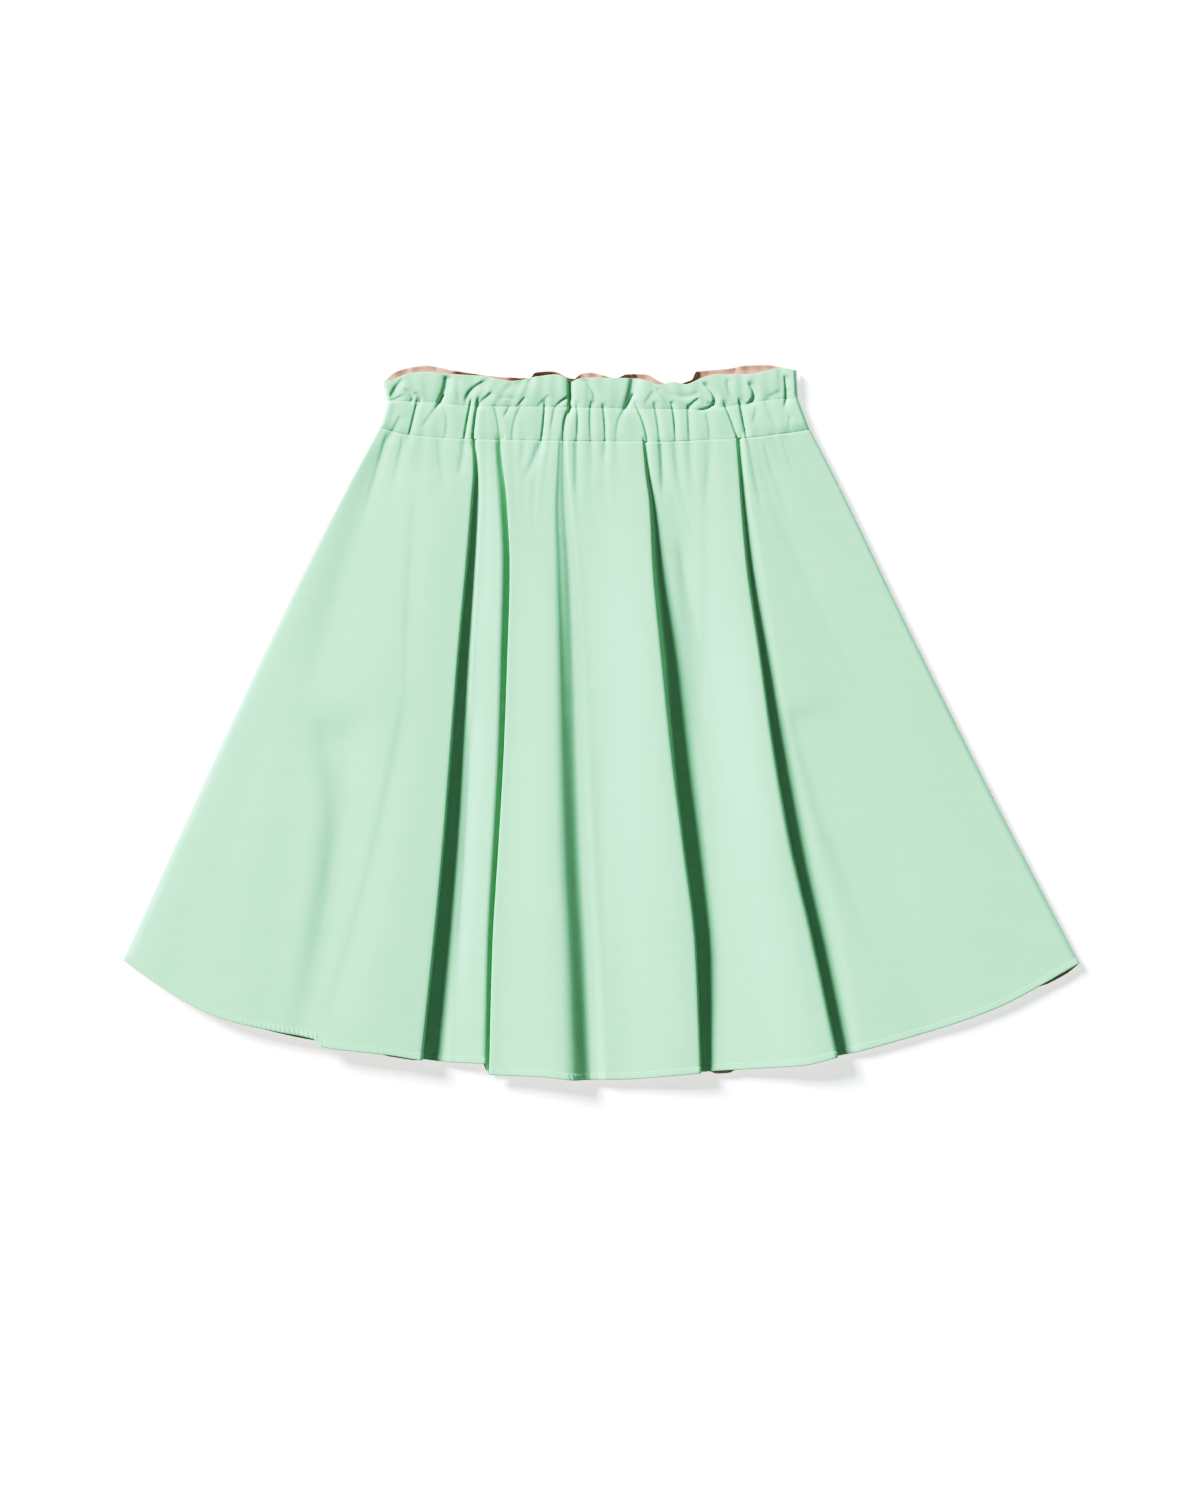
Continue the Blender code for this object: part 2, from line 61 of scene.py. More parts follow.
# The tones of the picture: light is shown up to BRIGHTEST, and bright tones lie closer
# together than deep ones. Each pair is light, as a share of BRIGHTEST, and its tone.
BRIGHTEST = 1.7
TONES = ((0.07, 0.075), (0.176, 0.275), (0.265, 0.460), (0.33, 0.565), (0.388, 0.620),
         (0.559, 0.788), (0.706, 0.858), (0.79, 0.898), (0.88, 0.938))


def new_material(name, settings):
    """A material and its shader, which is given these settings."""
    material = bpy.data.materials.new(name)
    material.use_nodes = True
    shader = material.node_tree.nodes["Principled BSDF"]
    for socket, value in settings.items():
        shader.inputs[socket].default_value = value
    return material, shader


table_white, _ = new_material("table_white", {
    "Base Color": (TABLE_WHITE, TABLE_WHITE, TABLE_WHITE, 1), "Roughness": 0.9,
    "Specular IOR Level": 0.0, "Emission Color": (1, 1, 1, 1),
    "Emission Strength": TABLE_GLOW})
bpy.ops.mesh.primitive_plane_add(size=TABLE_SIZE, location=(0, 0, -TABLE_DROP))
table = bpy.context.object
table.name = "table"
table.data.materials.append(table_white)

lamp = bpy.data.objects.new("lamp", bpy.data.lights.new("lamp", "SUN"))
lamp.data.energy = LAMP_STRENGTH
lamp.data.angle = LAMP_SOFTNESS
lamp.rotation_euler = Vector(LAMP_TRAVEL).to_track_quat("-Z", "Y").to_euler()
bpy.context.scene.collection.objects.link(lamp)

fill = bpy.data.worlds.new("fill")
fill.use_nodes = True
fill.node_tree.nodes["Background"].inputs["Color"].default_value = (*FILL_COLOUR, 1)
fill.node_tree.nodes["Background"].inputs["Strength"].default_value = FILL_STRENGTH
bpy.context.scene.world = fill
view = bpy.context.scene.view_settings
view.view_transform = "Standard"
view.use_curve_mapping = True
view.curve_mapping.white_level = (BRIGHTEST, BRIGHTEST, BRIGHTEST)
all_colours = view.curve_mapping.curves[3]
for light, tone in TONES:
    all_colours.points.new(light, tone)
view.curve_mapping.update()

camera = bpy.data.objects.new("camera", bpy.data.cameras.new("camera"))
camera.data.lens = LENS_MM
camera.data.sensor_width = SENSOR_MM
camera.location = (VIEW_ACROSS, VIEW_ALONG, VIEW_HEIGHT * LENS_MM / SENSOR_MM)
bpy.context.scene.collection.objects.link(camera)
bpy.context.scene.camera = camera


# The front of the outer skirt: one flared panel of mint cotton, drawn up at the waist and
# lying in five deep folds. Its section is worked out at any share of the way from the
# waist seam (0) to the hem (1), and smoothed into fine cloth.
LOWEST_Z = 3.0
CLOTH = 0.5
CLOTH_FACE = 0.5
SEAM_GAP = 0.20
STATIONS = (0.0, 0.10, 0.35, 0.65, 1.0)
EDGE_STATIONS = (0.0, 0.05, 0.10, 0.20, 0.35, 0.50, 0.65, 0.80, 1.0)
LEFT_SIDE = (-137.0, -155.0, -196.5, -243.0, -295.5)
RIGHT_SIDE = (129.0, 146.0, 186.0, 235.5, 295.5)
SIDE_INSETS, SIDE_Z = np.array((0.0, 0.25, 0.8)), np.array((2.2, 4.3, 5.4))
SEAM_Z, PANEL_Z, PANEL_SWELL = 6.4, 7.2, 0.4

Spot = namedtuple("Spot", "across along")
WAIST_SEAM = [Spot(*row) for row in (
    (-137, 182.5), (-117.5, 177.5), (-81.5, 175), (-25.5, 174), (30, 173.5),
    (83, 175.5), (117, 179), (129, 181))]
FRONT_HEM = [Spot(*row) for row in (
    (-295.5, -147), (-275.5, -161), (-255, -173.5), (-233.5, -183),
    (-214, -188), (-196, -191.5), (-177, -195.5), (-172.5, -200),
    (-150, -203), (-131, -205), (-112, -208), (-95, -210),
    (-72, -211), (-69.5, -217.5), (-36, -218.5), (-12, -221), (15, -220.5),
    (39.5, -218.5), (66, -216), (94, -214), (125, -211.5), (145.5, -206.5),
    (158, -204), (180, -198), (204, -191), (227, -183.5), (249.5, -174.5),
    (272, -162.5), (295.5, -149))]

# A deep fold: the panel on one side rolls over its edge and down a wall to the floor, and
# a slope climbs from there to the far panel. edge and far say where these two lie across,
# and the heights are those of the edge, the floor and the far panel, from waist to hem.
# Pairs are a value at the waist and one at the hem. roll is the radius of the edge, as
# two shares of its drop, and the share of the drop that it takes. tuck and undercut say
# how far the wall is tucked back under the edge, slope how long the far slope is, and foot
# is how far the wall and the floor spread where the fold isn't tucked.
Fold = namedtuple("Fold", "over edge far edge_z floor_z far_z roll tuck undercut slope foot")
FOLDS = (
    # The first fold on the left widens into a long dark valley.
    Fold(over="left",
         edge=(-80, -79, -80.2, -83.2, -88.5, -92.8, -97.2, -102.6, -110.6),
         far=(-76, -74.5, -74, -76, -79, -81.5, -84.5, -88, -93),
         edge_z=(6.6, 8.8, 11.8, 14.2, 14.8), floor_z=(4.6, 4.4, 4.8, 5, 4.6),
         far_z=(6.4, 5.8, 6.2, 6.2, 5.8), roll=(0.3, 0.17, 0.5),
         tuck=(0.6, 1), undercut=0.16, slope=(0.6, 0.6), foot=(0.3, 0.12)),
    # The second turns the other way: the panel on its right lies over it.
    Fold(over="right",
         edge=(-62, -59.8, -57.8, -56, -57.6, -59.8, -63.2, -66.7, -68.7),
         far=(-66.4, -65, -63.6, -61.8, -62.8, -64.4, -67.4, -70.6, -72.4),
         edge_z=(6.6, 8.2, 9.4, 9.6, 9.8), floor_z=(4.6, 3.4, 3, 3, 3),
         far_z=(6.4, 7.6, 9, 9, 8.4), roll=(0.1, 0.03, 0.5),
         tuck=(1, 1), undercut=1.15, slope=(1.6, 1.6), foot=(0.3, 0.12)),
    # The third is a soft roll with no tuck.
    Fold(over="left",
         edge=(-25.8, -26.6, -27.2, -25.8, -24, -22.4, -20.5, -17.4, -14.4),
         far=(-21, -20, -18, -14, -10, -7.5, -4.6, -0.8, 3),
         edge_z=(6.6, 8.4, 12.2, 14.2, 15), floor_z=(5.4, 6, 6.7, 6.6, 5.8),
         far_z=(6.4, 6.5, 7, 7.4, 7.4), roll=(1.8, 1.2, 0.38),
         tuck=(0, 0), undercut=0.16, slope=(0.3, 0.5), foot=(0.28, 0.2)),
    # The fourth opens halfway down and swings outwards.
    Fold(over="left",
         edge=(25.5, 27.4, 30, 32.2, 37.8, 43.8, 51.2, 58.2, 61.2),
         far=(30, 33, 39, 48, 62, 64, 66.5, 69, 69.5),
         edge_z=(6.6, 9.2, 15.6, 16.8, 12.6), floor_z=(4.6, 4.6, 3.7, 3.6, 3.8),
         far_z=(6.4, 4.8, 3.8, 4.4, 4.8), roll=(0.3, 0.15, 0.5),
         tuck=(0.3, 1), undercut=0.16, slope=(1, 0.6), foot=(0.3, 0.12)),
    # The fifth runs out to the right.
    Fold(over="left",
         edge=(83.3, 84.8, 86.2, 89.6, 97.8, 106, 116, 129.2, 145.4),
         far=(88, 90, 92.5, 99.5, 109, 120, 133.5, 148.5, 161.5),
         edge_z=(6.6, 7.8, 11.6, 15, 14.4), floor_z=(4.6, 4.4, 4.2, 3.8, 3.8),
         far_z=(6.4, 5.4, 4.8, 4.6, 4.8), roll=(0.3, 0.22, 0.5),
         tuck=(0.5, 0.9), undercut=0.16, slope=(0.6, 0.6), foot=(0.3, 0.12)),
)
LEFT_PANEL_FULLNESS = 2.0
ROLL_GROWN_BY = 0.35
VALLEY_START, VALLEY_TILT = 1.0, 0.1
SOFT_SLOPE, LEAST_SLOPE = 0.62, 0.9
FOOT_Z, FOOT_SHARE = 1.2, 0.3

# The gathers: where each groove lies across at the ruffle's edge, the neck, the seam, a
# tenth of the way down the skirt and the hem, and how deep it is in each part.
Gather = namedtuple("Gather", "edge neck seam skirt hem ruffle_dip casing_dip skirt_dip")
GATHERS = [Gather(*row) for row in (
    (-127, -127, -130.5, -146, -235, 2.4, 1.6, 1.1),
    (-117.5, -114.5, -121, -130, -182, 1.3, 1.4, 0.9),
    (-108, -108.5, -110.5, -113.5, -172, 0.7, 1.7, 0.9),
    (-95, -100, -100.5, -99.5, -143, 3, 1.3, 0.7),
    (-78, -84, -85.5, -88, -125, 1.6, 2.2, 0),
    (-69, -76.5, -79.5, -78.5, -112, 1.9, 2.3, 0),
    (-62, -71.5, -71.5, -70.5, -91, 0.5, 0.5, 0.3),
    (-55, -66, -63.5, -62, -70, 1, 1.4, 0),
    (-49, -57, -54.5, -53.5, -60, 0.6, 1.6, 0.8),
    (-43, -50, -48, -47.5, -50.5, 2.4, 1.4, 0.6),
    (-36, -36, -37.5, -42, -41, 1.3, 2.2, 1.2),
    (-28, -28.5, -31, -36, -30, 1.2, 1.4, 0.6),
    (-20, -20, -23.5, -25, -19, 3.6, 2, 0),
    (-13.5, -13.5, -15.5, -14.5, 10, 0.7, 1.7, 1.2),
    (-8, -7, -6.5, -6, 22, 1.7, 1.4, 0.9),
    (1, 0.5, 1.5, 3.5, 34, 1.1, 1.8, 1),
    (11, 9.5, 8.5, 10, 47, 0.8, 1.3, 0.8),
    (22, 19.5, 24, 30, 60, 3, 1.9, 0),
    (33, 32, 36, 45.5, 82, 1.4, 1.6, 1.2),
    (41, 43.5, 45, 51.5, 97, 2, 1.6, 1),
    (50, 54, 54, 58, 111, 1.9, 1.3, 0.8),
    (60, 65, 66, 67, 127, 3.4, 1.5, 0.9),
    (78, 78, 82, 87, 145, 1.7, 2.1, 0),
    (87, 87.5, 88.5, 92, 158, 2.4, 2.2, 0),
    (95.5, 95.5, 96.5, 102, 186, 0.8, 1, 0.6),
    (103, 103.5, 107, 117, 216, 1, 0.9, 0.6),
    (111, 112, 115.5, 131, 250, 2.8, 1, 0.6))]
# Those that lie in each of the open panels between the folds, from left to right.
PANEL_GATHERS = (GATHERS[0:4], GATHERS[6:7], GATHERS[8:12], GATHERS[13:17],
                 GATHERS[18:22], GATHERS[24:27])
GATHERS_FADE_BY, GATHERS_FADE_CURVE, GATHER_SHARE = 0.18, 1.5, 0.4

# Soft troughs down the open panels, then creases laid on them. A crease runs
# through three spots, sinks by depth, and fades over the widths left and right of it.
Trough = namedtuple("Trough", "middle waist_depth hem_depth width")
TROUGHS = [Trough(*row) for row in (
    ((-134, -143, -168, -187, -203), 0.2, 0.8, 15),
    ((-12, 3.5, 6, 10, 22), 0.2, 0.3, 9),
    ((47, 50, 68, 88, 108), 0.2, 0.4, 10),
    ((92, 104, 138, 170, 202), 0.2, 0.5, 12))]
Crease = namedtuple("Crease", "start middle end depth left right")
CREASE_START, CREASE_END, CREASE_REACH = 0.15, 0.40, 2.6
CREASE_LINE_POINTS = 25
SKIRT_CREASES = [Crease(*row) for row in (
    ((-113.5, 150), (-118.5, 76), (-120.5, -10), 0.45, 2.6, 8),
    ((-117.5, 30), (-144, -98), (-176, -204), 0.6, 3, 10),
    ((-132, 178), (-156, 98), (-188, -12), 1.5, 10, 30),
    ((-175, 10), (-166, -100), (-212, -280), 2.4, 9, 24),
    ((-158, 10), (-160, -64), (-182, -155), 0.6, 6, 12),
    ((-80, 20), (-85.5, -96), (-94.5, -206), 1, 1.6, 5),
    ((48, 122), (56.5, 45), (63, -30), 1, 3, 6),
    ((64, 165), (65, 76), (62.5, 14), 0.4, 2, 6),
    ((98, 170), (128, 88), (200, -50), 0.5, 4, 12),
    ((119.5, 14), (139.5, -60), (189, -178), 1.35, 7, 22),
    ((2, -5), (1.5, -90), (2, -190), 0.3, 6, 3))]
CASING_CREASES = [Crease(*row) for row in (
    ((-123, 191), (-129, 180), (-134, 172), 0.5, 1, 3.5),
    ((-113, 203), (-117, 185.5), (-122, 166), 0.95, 0.55, 2.8),
    ((-101, 196.5), (-107, 188), (-112.5, 181), 0.35, 0.8, 2.5),
    ((-99.5, 198), (-95.5, 184.5), (-100, 168), 0.35, 0.8, 2.5),
    ((-80, 202), (-83.3, 185.5), (-86.5, 164), 1.55, 0.5, 1.6),
    ((-76, 202), (-78.7, 185.5), (-80.5, 164), 1.65, 0.5, 1.8),
    ((-67, 197), (-63.5, 183), (-63, 166), 0.6, 0.7, 2.5),
    ((-57, 196), (-58.5, 192), (-61.5, 187.5), 0.55, 0.55, 1.6),
    ((-48, 197), (-54, 185), (-54.5, 166), 0.5, 0.7, 2.5),
    ((-35, 200), (-36, 184.5), (-38.5, 164), 1.2, 0.5, 2.2),
    ((-28.5, 196), (-30, 188), (-32, 178), 0.45, 0.7, 2),
    ((-16.5, 196), (-22.7, 187.5), (-23.5, 165), 1.15, 0.55, 2.4),
    ((-16, 200), (-14.7, 186), (-16, 166), 0.9, 0.6, 2.2),
    ((-5.5, 200), (-7, 187), (-5.5, 166), 0.75, 0.6, 2.4),
    ((0.5, 198), (2, 184.5), (2.5, 166), 1.05, 0.5, 2),
    ((16, 191), (10.5, 186), (9.5, 168), 0.45, 0.8, 2.5),
    ((19, 199), (25.5, 186), (30, 165), 1.3, 0.55, 2.4),
    ((32, 199), (34.7, 185.5), (37, 164), 0.85, 0.6, 2.2),
    ((42.5, 199), (45, 187), (46, 166), 1.15, 0.55, 2.2),
    ((53.5, 198), (54, 184.5), (55, 166), 0.8, 0.7, 2.6),
    ((64, 193), (66.5, 183), (67, 168), 0.45, 0.8, 2.6),
    ((74.5, 199.5), (81, 184.5), (87, 165), 1.45, 0.55, 2),
    ((84.5, 202), (87.7, 185), (91, 170), 1.45, 0.5, 2.4),
    ((96, 199), (95, 190), (92, 183), 0.35, 0.8, 2.5),
    ((100, 200), (105, 189), (109.5, 179), 0.3, 1, 3),
    ((117.5, 190.5), (116, 185), (117.5, 179), 0.3, 0.7, 2))]
GATHER_CREASES = [Crease(*row) for row in (
    ((-132, 180), (-139, 155), (-152, 112), 0.6, 1.3, 5),
    ((-122, 179), (-126, 160), (-130, 143), 0.4, 0.8, 3.5),
    ((-101, 177), (-99.5, 158), (-97, 138), 0.3, 0.8, 3),
    ((-84.3, 176.5), (-86.5, 162), (-89.5, 150), 0.9, 0.6, 2.5),
    ((-63, 176), (-63.5, 163), (-62, 150), 0.7, 0.7, 2.5),
    ((-48, 176), (-49.5, 165), (-52, 155), 0.4, 0.7, 2.5),
    ((-36.5, 176), (-42.5, 162.5), (-48.5, 148), 0.8, 0.6, 3),
    ((-15.5, 176), (-16, 157), (-15.5, 136), 0.55, 0.7, 3),
    ((-6.5, 176), (-6, 164), (-5.5, 152), 0.35, 0.7, 3),
    ((2.5, 176), (2, 168), (1, 158), 0.55, 0.6, 2.5),
    ((9, 176), (9.5, 165), (11, 150), 0.35, 0.8, 3),
    ((36.5, 176), (37, 157), (38, 135), 0.95, 0.7, 3.5),
    ((45.5, 176), (46.5, 162), (49, 145), 0.55, 0.7, 3),
    ((54.5, 176), (55, 160), (57, 145), 0.4, 0.8, 3),
    ((67, 176.5), (66, 158), (65, 138), 0.45, 0.8, 3),
    ((90.5, 178), (94, 155), (101, 124), 0.5, 0.8, 3.5),
    ((100, 178), (107, 150), (120, 118), 0.35, 1, 4),
    ((111, 179.5), (115, 165), (121, 148), 0.3, 1, 4))]


def eased(places, values, at):
    """Smooth curve through values at places, which never swings past them."""
    places, values = np.asarray(places, float), np.asarray(values, float)
    steps = np.diff(places)
    rises = np.diff(values) / steps
    before, after = rises[:-1], rises[1:]
    same_way = before * after > 0
    slopes = np.concatenate([rises[:1], np.zeros(len(before)), rises[-1:]])
    slopes[1:-1][same_way] = (2 * before * after)[same_way] / (before + after)[same_way]
    start = np.clip(np.searchsorted(places, at, side="right") - 1, 0, len(steps) - 1)
    t = (at - places[start]) / steps[start]
    rise = values[start + 1] - values[start]
    first, last = slopes[start] * steps[start], slopes[start + 1] * steps[start]
    return (values[start] + t * first + t * t * (3 * rise - 2 * first - last)
            + t ** 3 * (first + last - 2 * rise))


def along(values, share):
    return eased(STATIONS if len(values) == len(STATIONS) else EDGE_STATIONS, values, share)


def between(pair, share):
    return pair[0] + (pair[1] - pair[0]) * share


def follow(outline, across):
    """How far up the skirt an outline lies at the places across it."""
    places = [spot.across for spot in outline]
    across = np.clip(across, places[0], places[-1])
    return eased(places, [spot.along for spot in outline], across)


def fold_points(fold, share):
    """Section of a deep fold: the edge that rolls over, the wall, the facing slope."""
    edge = along(fold.edge, share)
    width = abs(along(fold.far, share) - edge)
    floor = along(fold.floor_z, share)
    drop, rise = along(fold.edge_z, share) - floor, along(fold.far_z, share) - floor
    tuck = between(fold.tuck, share)
    waist_roll, hem_roll, roll_share = fold.roll
    wall_share, valley_share = fold.foot
    radius = drop * between((waist_roll, hem_roll), min(1.0, share / ROLL_GROWN_BY))
    turn = np.arccos(1 - min(1.0, roll_share * drop / radius))
    roll_turns = np.array([0, turn / 2, turn])
    roll_in = radius * (np.sin(roll_turns) - np.sin(turn))
    roll_z = drop - radius * (1 - np.cos(roll_turns))
    wall_foot = between((wall_share * width, -fold.undercut * drop), tuck)
    valley_start = wall_foot + between((valley_share * width, VALLEY_START), tuck)
    soft_foot = width * (1 - SOFT_SLOPE * between(fold.slope, share))
    slope_foot = max(valley_start + valley_share * width, soft_foot)
    slope_foot = min(slope_foot, width - LEAST_SLOPE)
    into = np.array([*roll_in, wall_foot, valley_start, slope_foot,
                     (slope_foot + width) / 2, width])
    foot_z = min(FOOT_Z, FOOT_SHARE * drop)
    height = floor + np.array([*roll_z, foot_z, 0, VALLEY_TILT, rise / 2, rise])
    if fold.over == "left":
        return edge + into, height
    return (edge - into)[::-1], height[::-1]


def gather_shares(grooves, start, end):
    """Crests and grooves of an open panel, as shares of its width."""
    places = [start, *grooves, end]
    crests = [(a + b) / 2 for a, b in zip(places, places[1:])]
    points = [place for pair in zip(crests, grooves) for place in pair] + [crests[-1]]
    return (np.array(points) - start) / (end - start)


def panel_points(gathers, spans, share):
    """Section of the open panel between two folds, and the dips of its gathers."""
    at_seam = gather_shares([gather.seam for gather in gathers], *spans[0])
    lower = gather_shares([gather.skirt for gather in gathers], *spans[1])
    at_hem = gather_shares([gather.hem for gather in gathers], *spans[2])
    near = min(share / STATIONS[1], 1.0)
    spread = np.clip((share - STATIONS[1]) / (STATIONS[2] - STATIONS[1]), 0.0, 1.0)
    shares = between((between((at_seam, lower), near), at_hem), spread)
    dips = np.zeros(len(shares))
    dips[1::2] = [GATHER_SHARE * gather.skirt_dip for gather in gathers]
    return shares, dips * max(0.0, 1 - share / GATHERS_FADE_BY) ** GATHERS_FADE_CURVE


def front_blocks(share):
    """The parts of the section that stay as they are: both sides and the deep folds."""
    left, right = along(LEFT_SIDE, share), along(RIGHT_SIDE, share)
    folds = [fold_points(fold, share) for fold in FOLDS]
    return [(left + SIDE_INSETS, SIDE_Z), *folds, ((right - SIDE_INSETS)[::-1], SIDE_Z[::-1])]


def front_section(share):
    """Corner points of the front's middle line."""
    stages = [front_blocks(at) for at in (0.0, STATIONS[1], 1.0, share)]
    blocks = stages[-1]
    across, height = [blocks[0][0]], [blocks[0][1]]
    for number, gathers in enumerate(PANEL_GATHERS):
        spans = [(stage[number][0][-1], stage[number + 1][0][0]) for stage in stages]
        start_z, end_z = blocks[number][1][-1], blocks[number + 1][1][0]
        t, dips = panel_points(gathers, spans, share)
        panel_x = between(spans[-1], t)
        swell = PANEL_SWELL * max(0.0, PANEL_Z - min(start_z, end_z)) * t * (1 - t)
        lift = t ** 2 * (3 - 2 * t) if number else 1 - (1 - t) ** LEFT_PANEL_FULLNESS
        panel_z = between((start_z, end_z), lift) + swell
        across += [panel_x, blocks[number + 1][0]]
        height += [panel_z - dips, blocks[number + 1][1]]
    return np.concatenate(across), np.concatenate(height)


def smoothed(across, height, pieces):
    """A fine section through the corner points, with so many pieces for each side."""
    lengths = np.hypot(np.diff(across), np.diff(height))
    knots = np.concatenate([[0.0], np.cumsum(lengths)])
    at = [knots[i] + lengths[i] * np.arange(count) / count for i, count in enumerate(pieces)]
    at = np.concatenate([*at, knots[-1:]])
    return eased(knots, across, at), eased(knots, height, at)


def crease_depth(creases, across, up_the_skirt):
    """How far the creases lower the cloth at these places. Each follows a bent line
    through its three spots and dies out towards both ends."""
    sunk = np.zeros_like(across)
    for crease in creases:
        start, middle, end = (np.array(spot) for spot in crease[:3])
        t = np.linspace(0, 1, CREASE_LINE_POINTS)[:, None]
        line = ((1 - t) * (1 - 2 * t) * start + 4 * t * (1 - t) * middle
                + t * (2 * t - 1) * end)
        reach = CREASE_REACH * max(crease.left, crease.right)
        low, high = line.min(0) - reach, line.max(0) + reach
        near = ((across > low[0]) & (across < high[0])
                & (up_the_skirt > low[1]) & (up_the_skirt < high[1]))
        if not near.any():
            continue
        place = np.stack([across[near], up_the_skirt[near]], -1)
        best, share = np.full(len(place), np.inf), np.zeros(len(place))
        side = np.ones(len(place))
        for i in range(len(line) - 1):
            step = line[i + 1] - line[i]
            part = np.clip((place - line[i]) @ step / (step @ step), 0, 1)
            away = place - line[i] - part[:, None] * step
            far = np.hypot(*away.T)
            closer = far < best
            best[closer] = far[closer]
            share[closer] = (i + part[closer]) / (len(line) - 1)
            turn = step[0] * away[:, 1] - step[1] * away[:, 0]
            side[closer] = np.sign(turn[closer])
        downward = line[0, 1] > line[-1, 1]
        left = side < 0 if downward else side > 0
        width = np.where(left, crease.left, crease.right)
        ends = np.minimum(share / CREASE_START, 1) * np.minimum((1 - share) / CREASE_END, 1)
        fade = ends ** 2 * (3 - 2 * ends)
        sunk[near] += crease.depth * fade * np.exp(-(best / width) ** 2)
    return sunk


def trough_depth(across, share):
    depth = np.zeros_like(across)
    for trough in TROUGHS:
        away = (across - along(trough.middle, share)) / trough.width
        depth += between((trough.waist_depth, trough.hem_depth), share) * np.exp(-away ** 2)
    return depth


SHARPEST_TURN = 0.5


def moved_out(across, height, distance):
    """A section moved square to itself, and held back where it turns sharply."""
    step_x, step_z = np.diff(across), np.diff(height)
    length = np.hypot(step_x, step_z)
    normal_x, normal_z = -step_z / length, step_x / length
    mean_x = np.concatenate([normal_x[:1], (normal_x[:-1] + normal_x[1:]) / 2, normal_x[-1:]])
    mean_z = np.concatenate([normal_z[:1], (normal_z[:-1] + normal_z[1:]) / 2, normal_z[-1:]])
    size = np.maximum(np.hypot(mean_x, mean_z), SHARPEST_TURN)
    return across + mean_x / size * distance, height + mean_z / size * distance


# How many fine pieces each side of the section is cut into, where it is longest.
PIECE_SIZE, FEWEST_PIECES, MOST_PIECES = 2.6, 2, 6
longest = np.max([np.hypot(*np.diff(front_section(share))) for share in (0, 0.1, 0.5, 1)], 0)
FRONT_PIECES = np.clip(np.ceil(longest / PIECE_SIZE), FEWEST_PIECES, MOST_PIECES).astype(int)
FRONT_CREASES = SKIRT_CREASES + GATHER_CREASES + CASING_CREASES


def front_surface(shares, hem, pieces=FRONT_PIECES):
    """Middle surface of the front: rows of (across, along, height) points."""
    first = smoothed(*front_section(0.0), pieces)[0]
    last = smoothed(*front_section(1.0), pieces)[0]
    seam_line, hem_line = follow(WAIST_SEAM, first) - SEAM_GAP, follow(hem, last)
    rows = []
    for share in shares:
        across, height = smoothed(*front_section(share), pieces)
        up_the_skirt = between((seam_line, hem_line), share)
        height = height - trough_depth(across, min(share, 1.0))
        sunk = crease_depth(FRONT_CREASES, across, up_the_skirt)
        height = np.maximum(height - sunk, LOWEST_Z)
        rows.append(np.stack([across, up_the_skirt, height], -1))
    return np.array(rows)


def cloth_face(surface, distance):
    """The middle surface's rows moved out square to themselves."""
    face = surface.copy()
    for row in face:
        row[:, 0], row[:, 2] = moved_out(row[:, 0], row[:, 2], distance)
    return face


def lifted(surface, rise):
    return surface + np.array([0, 0, rise])


def grid_faces(rows, columns, start=0):
    corner = np.arange(rows * columns).reshape(rows, columns) + start
    return np.stack([corner[:-1, :-1], corner[1:, :-1], corner[1:, 1:], corner[:-1, 1:]],
                    -1).reshape(-1, 4)


def add_piece(name, points, faces, weave, material):
    """A mesh object at the origin, whose UV map says where each point lies in the flat
    cloth, in metres."""
    mesh = bpy.data.meshes.new(name)
    mesh.from_pydata((points * MM).tolist(), [], faces.tolist())
    mesh.shade_smooth()
    layer = mesh.uv_layers.new(name="cloth")
    corners = np.zeros(len(mesh.loops), int)
    mesh.loops.foreach_get("vertex_index", corners)
    layer.data.foreach_set("uv", (weave[corners] * MM).astype(np.float32).ravel())
    mesh.materials.append(material)
    piece = bpy.data.objects.new(name, mesh)
    bpy.context.scene.collection.objects.link(piece)
    return piece


def cloth_place(surface):
    """Where the points lie in flat cloth: along the thread from the middle, and up."""
    steps = np.hypot(np.diff(surface[..., 0], axis=1), np.diff(surface[..., 2], axis=1))
    across = np.concatenate([np.zeros((len(surface), 1)), np.cumsum(steps, 1)], 1)
    across -= across[:, across.shape[1] // 2, None]
    return np.stack([across, surface[..., 1]], -1)


def add_shell(name, outer, inner, material):
    """Thin closed cloth from an outer and an inner face, rows from waist to hem."""
    rows, columns = outer.shape[:2]
    count = rows * columns
    top = grid_faces(rows, columns)
    bottom = grid_faces(rows, columns, count)[:, ::-1]
    corner = np.arange(count).reshape(rows, columns)
    rims = []
    for rim in (corner[0], corner[-1][::-1], corner[:, 0][::-1], corner[:, -1]):
        rims.append(np.stack([rim[:-1], rim[1:], rim[1:] + count, rim[:-1] + count], -1))
    points = np.concatenate([outer.reshape(-1, 3), inner.reshape(-1, 3)])
    place = cloth_place(outer).reshape(-1, 2)
    faces = np.concatenate([top, bottom, *rims])
    return add_piece(name, points, faces, np.concatenate([place, place]), material)


THREAD_SPACING = 0.42
SLUB_SHARE, MOTTLE_SHARE, THREAD_SHARE, FIBRE_SHARE = 0.45, 0.55, 0.06, 0.12
SHADE_UP_TO, COLOUR_FROM = 0.30, 0.70
WEAVE_HEIGHT, WEAVE_STRENGTH, FIBRE_HEIGHT = 0.03 * MM, 0.5, 0.8
NOISES_APART = (1.7, 2.3, 1.0)


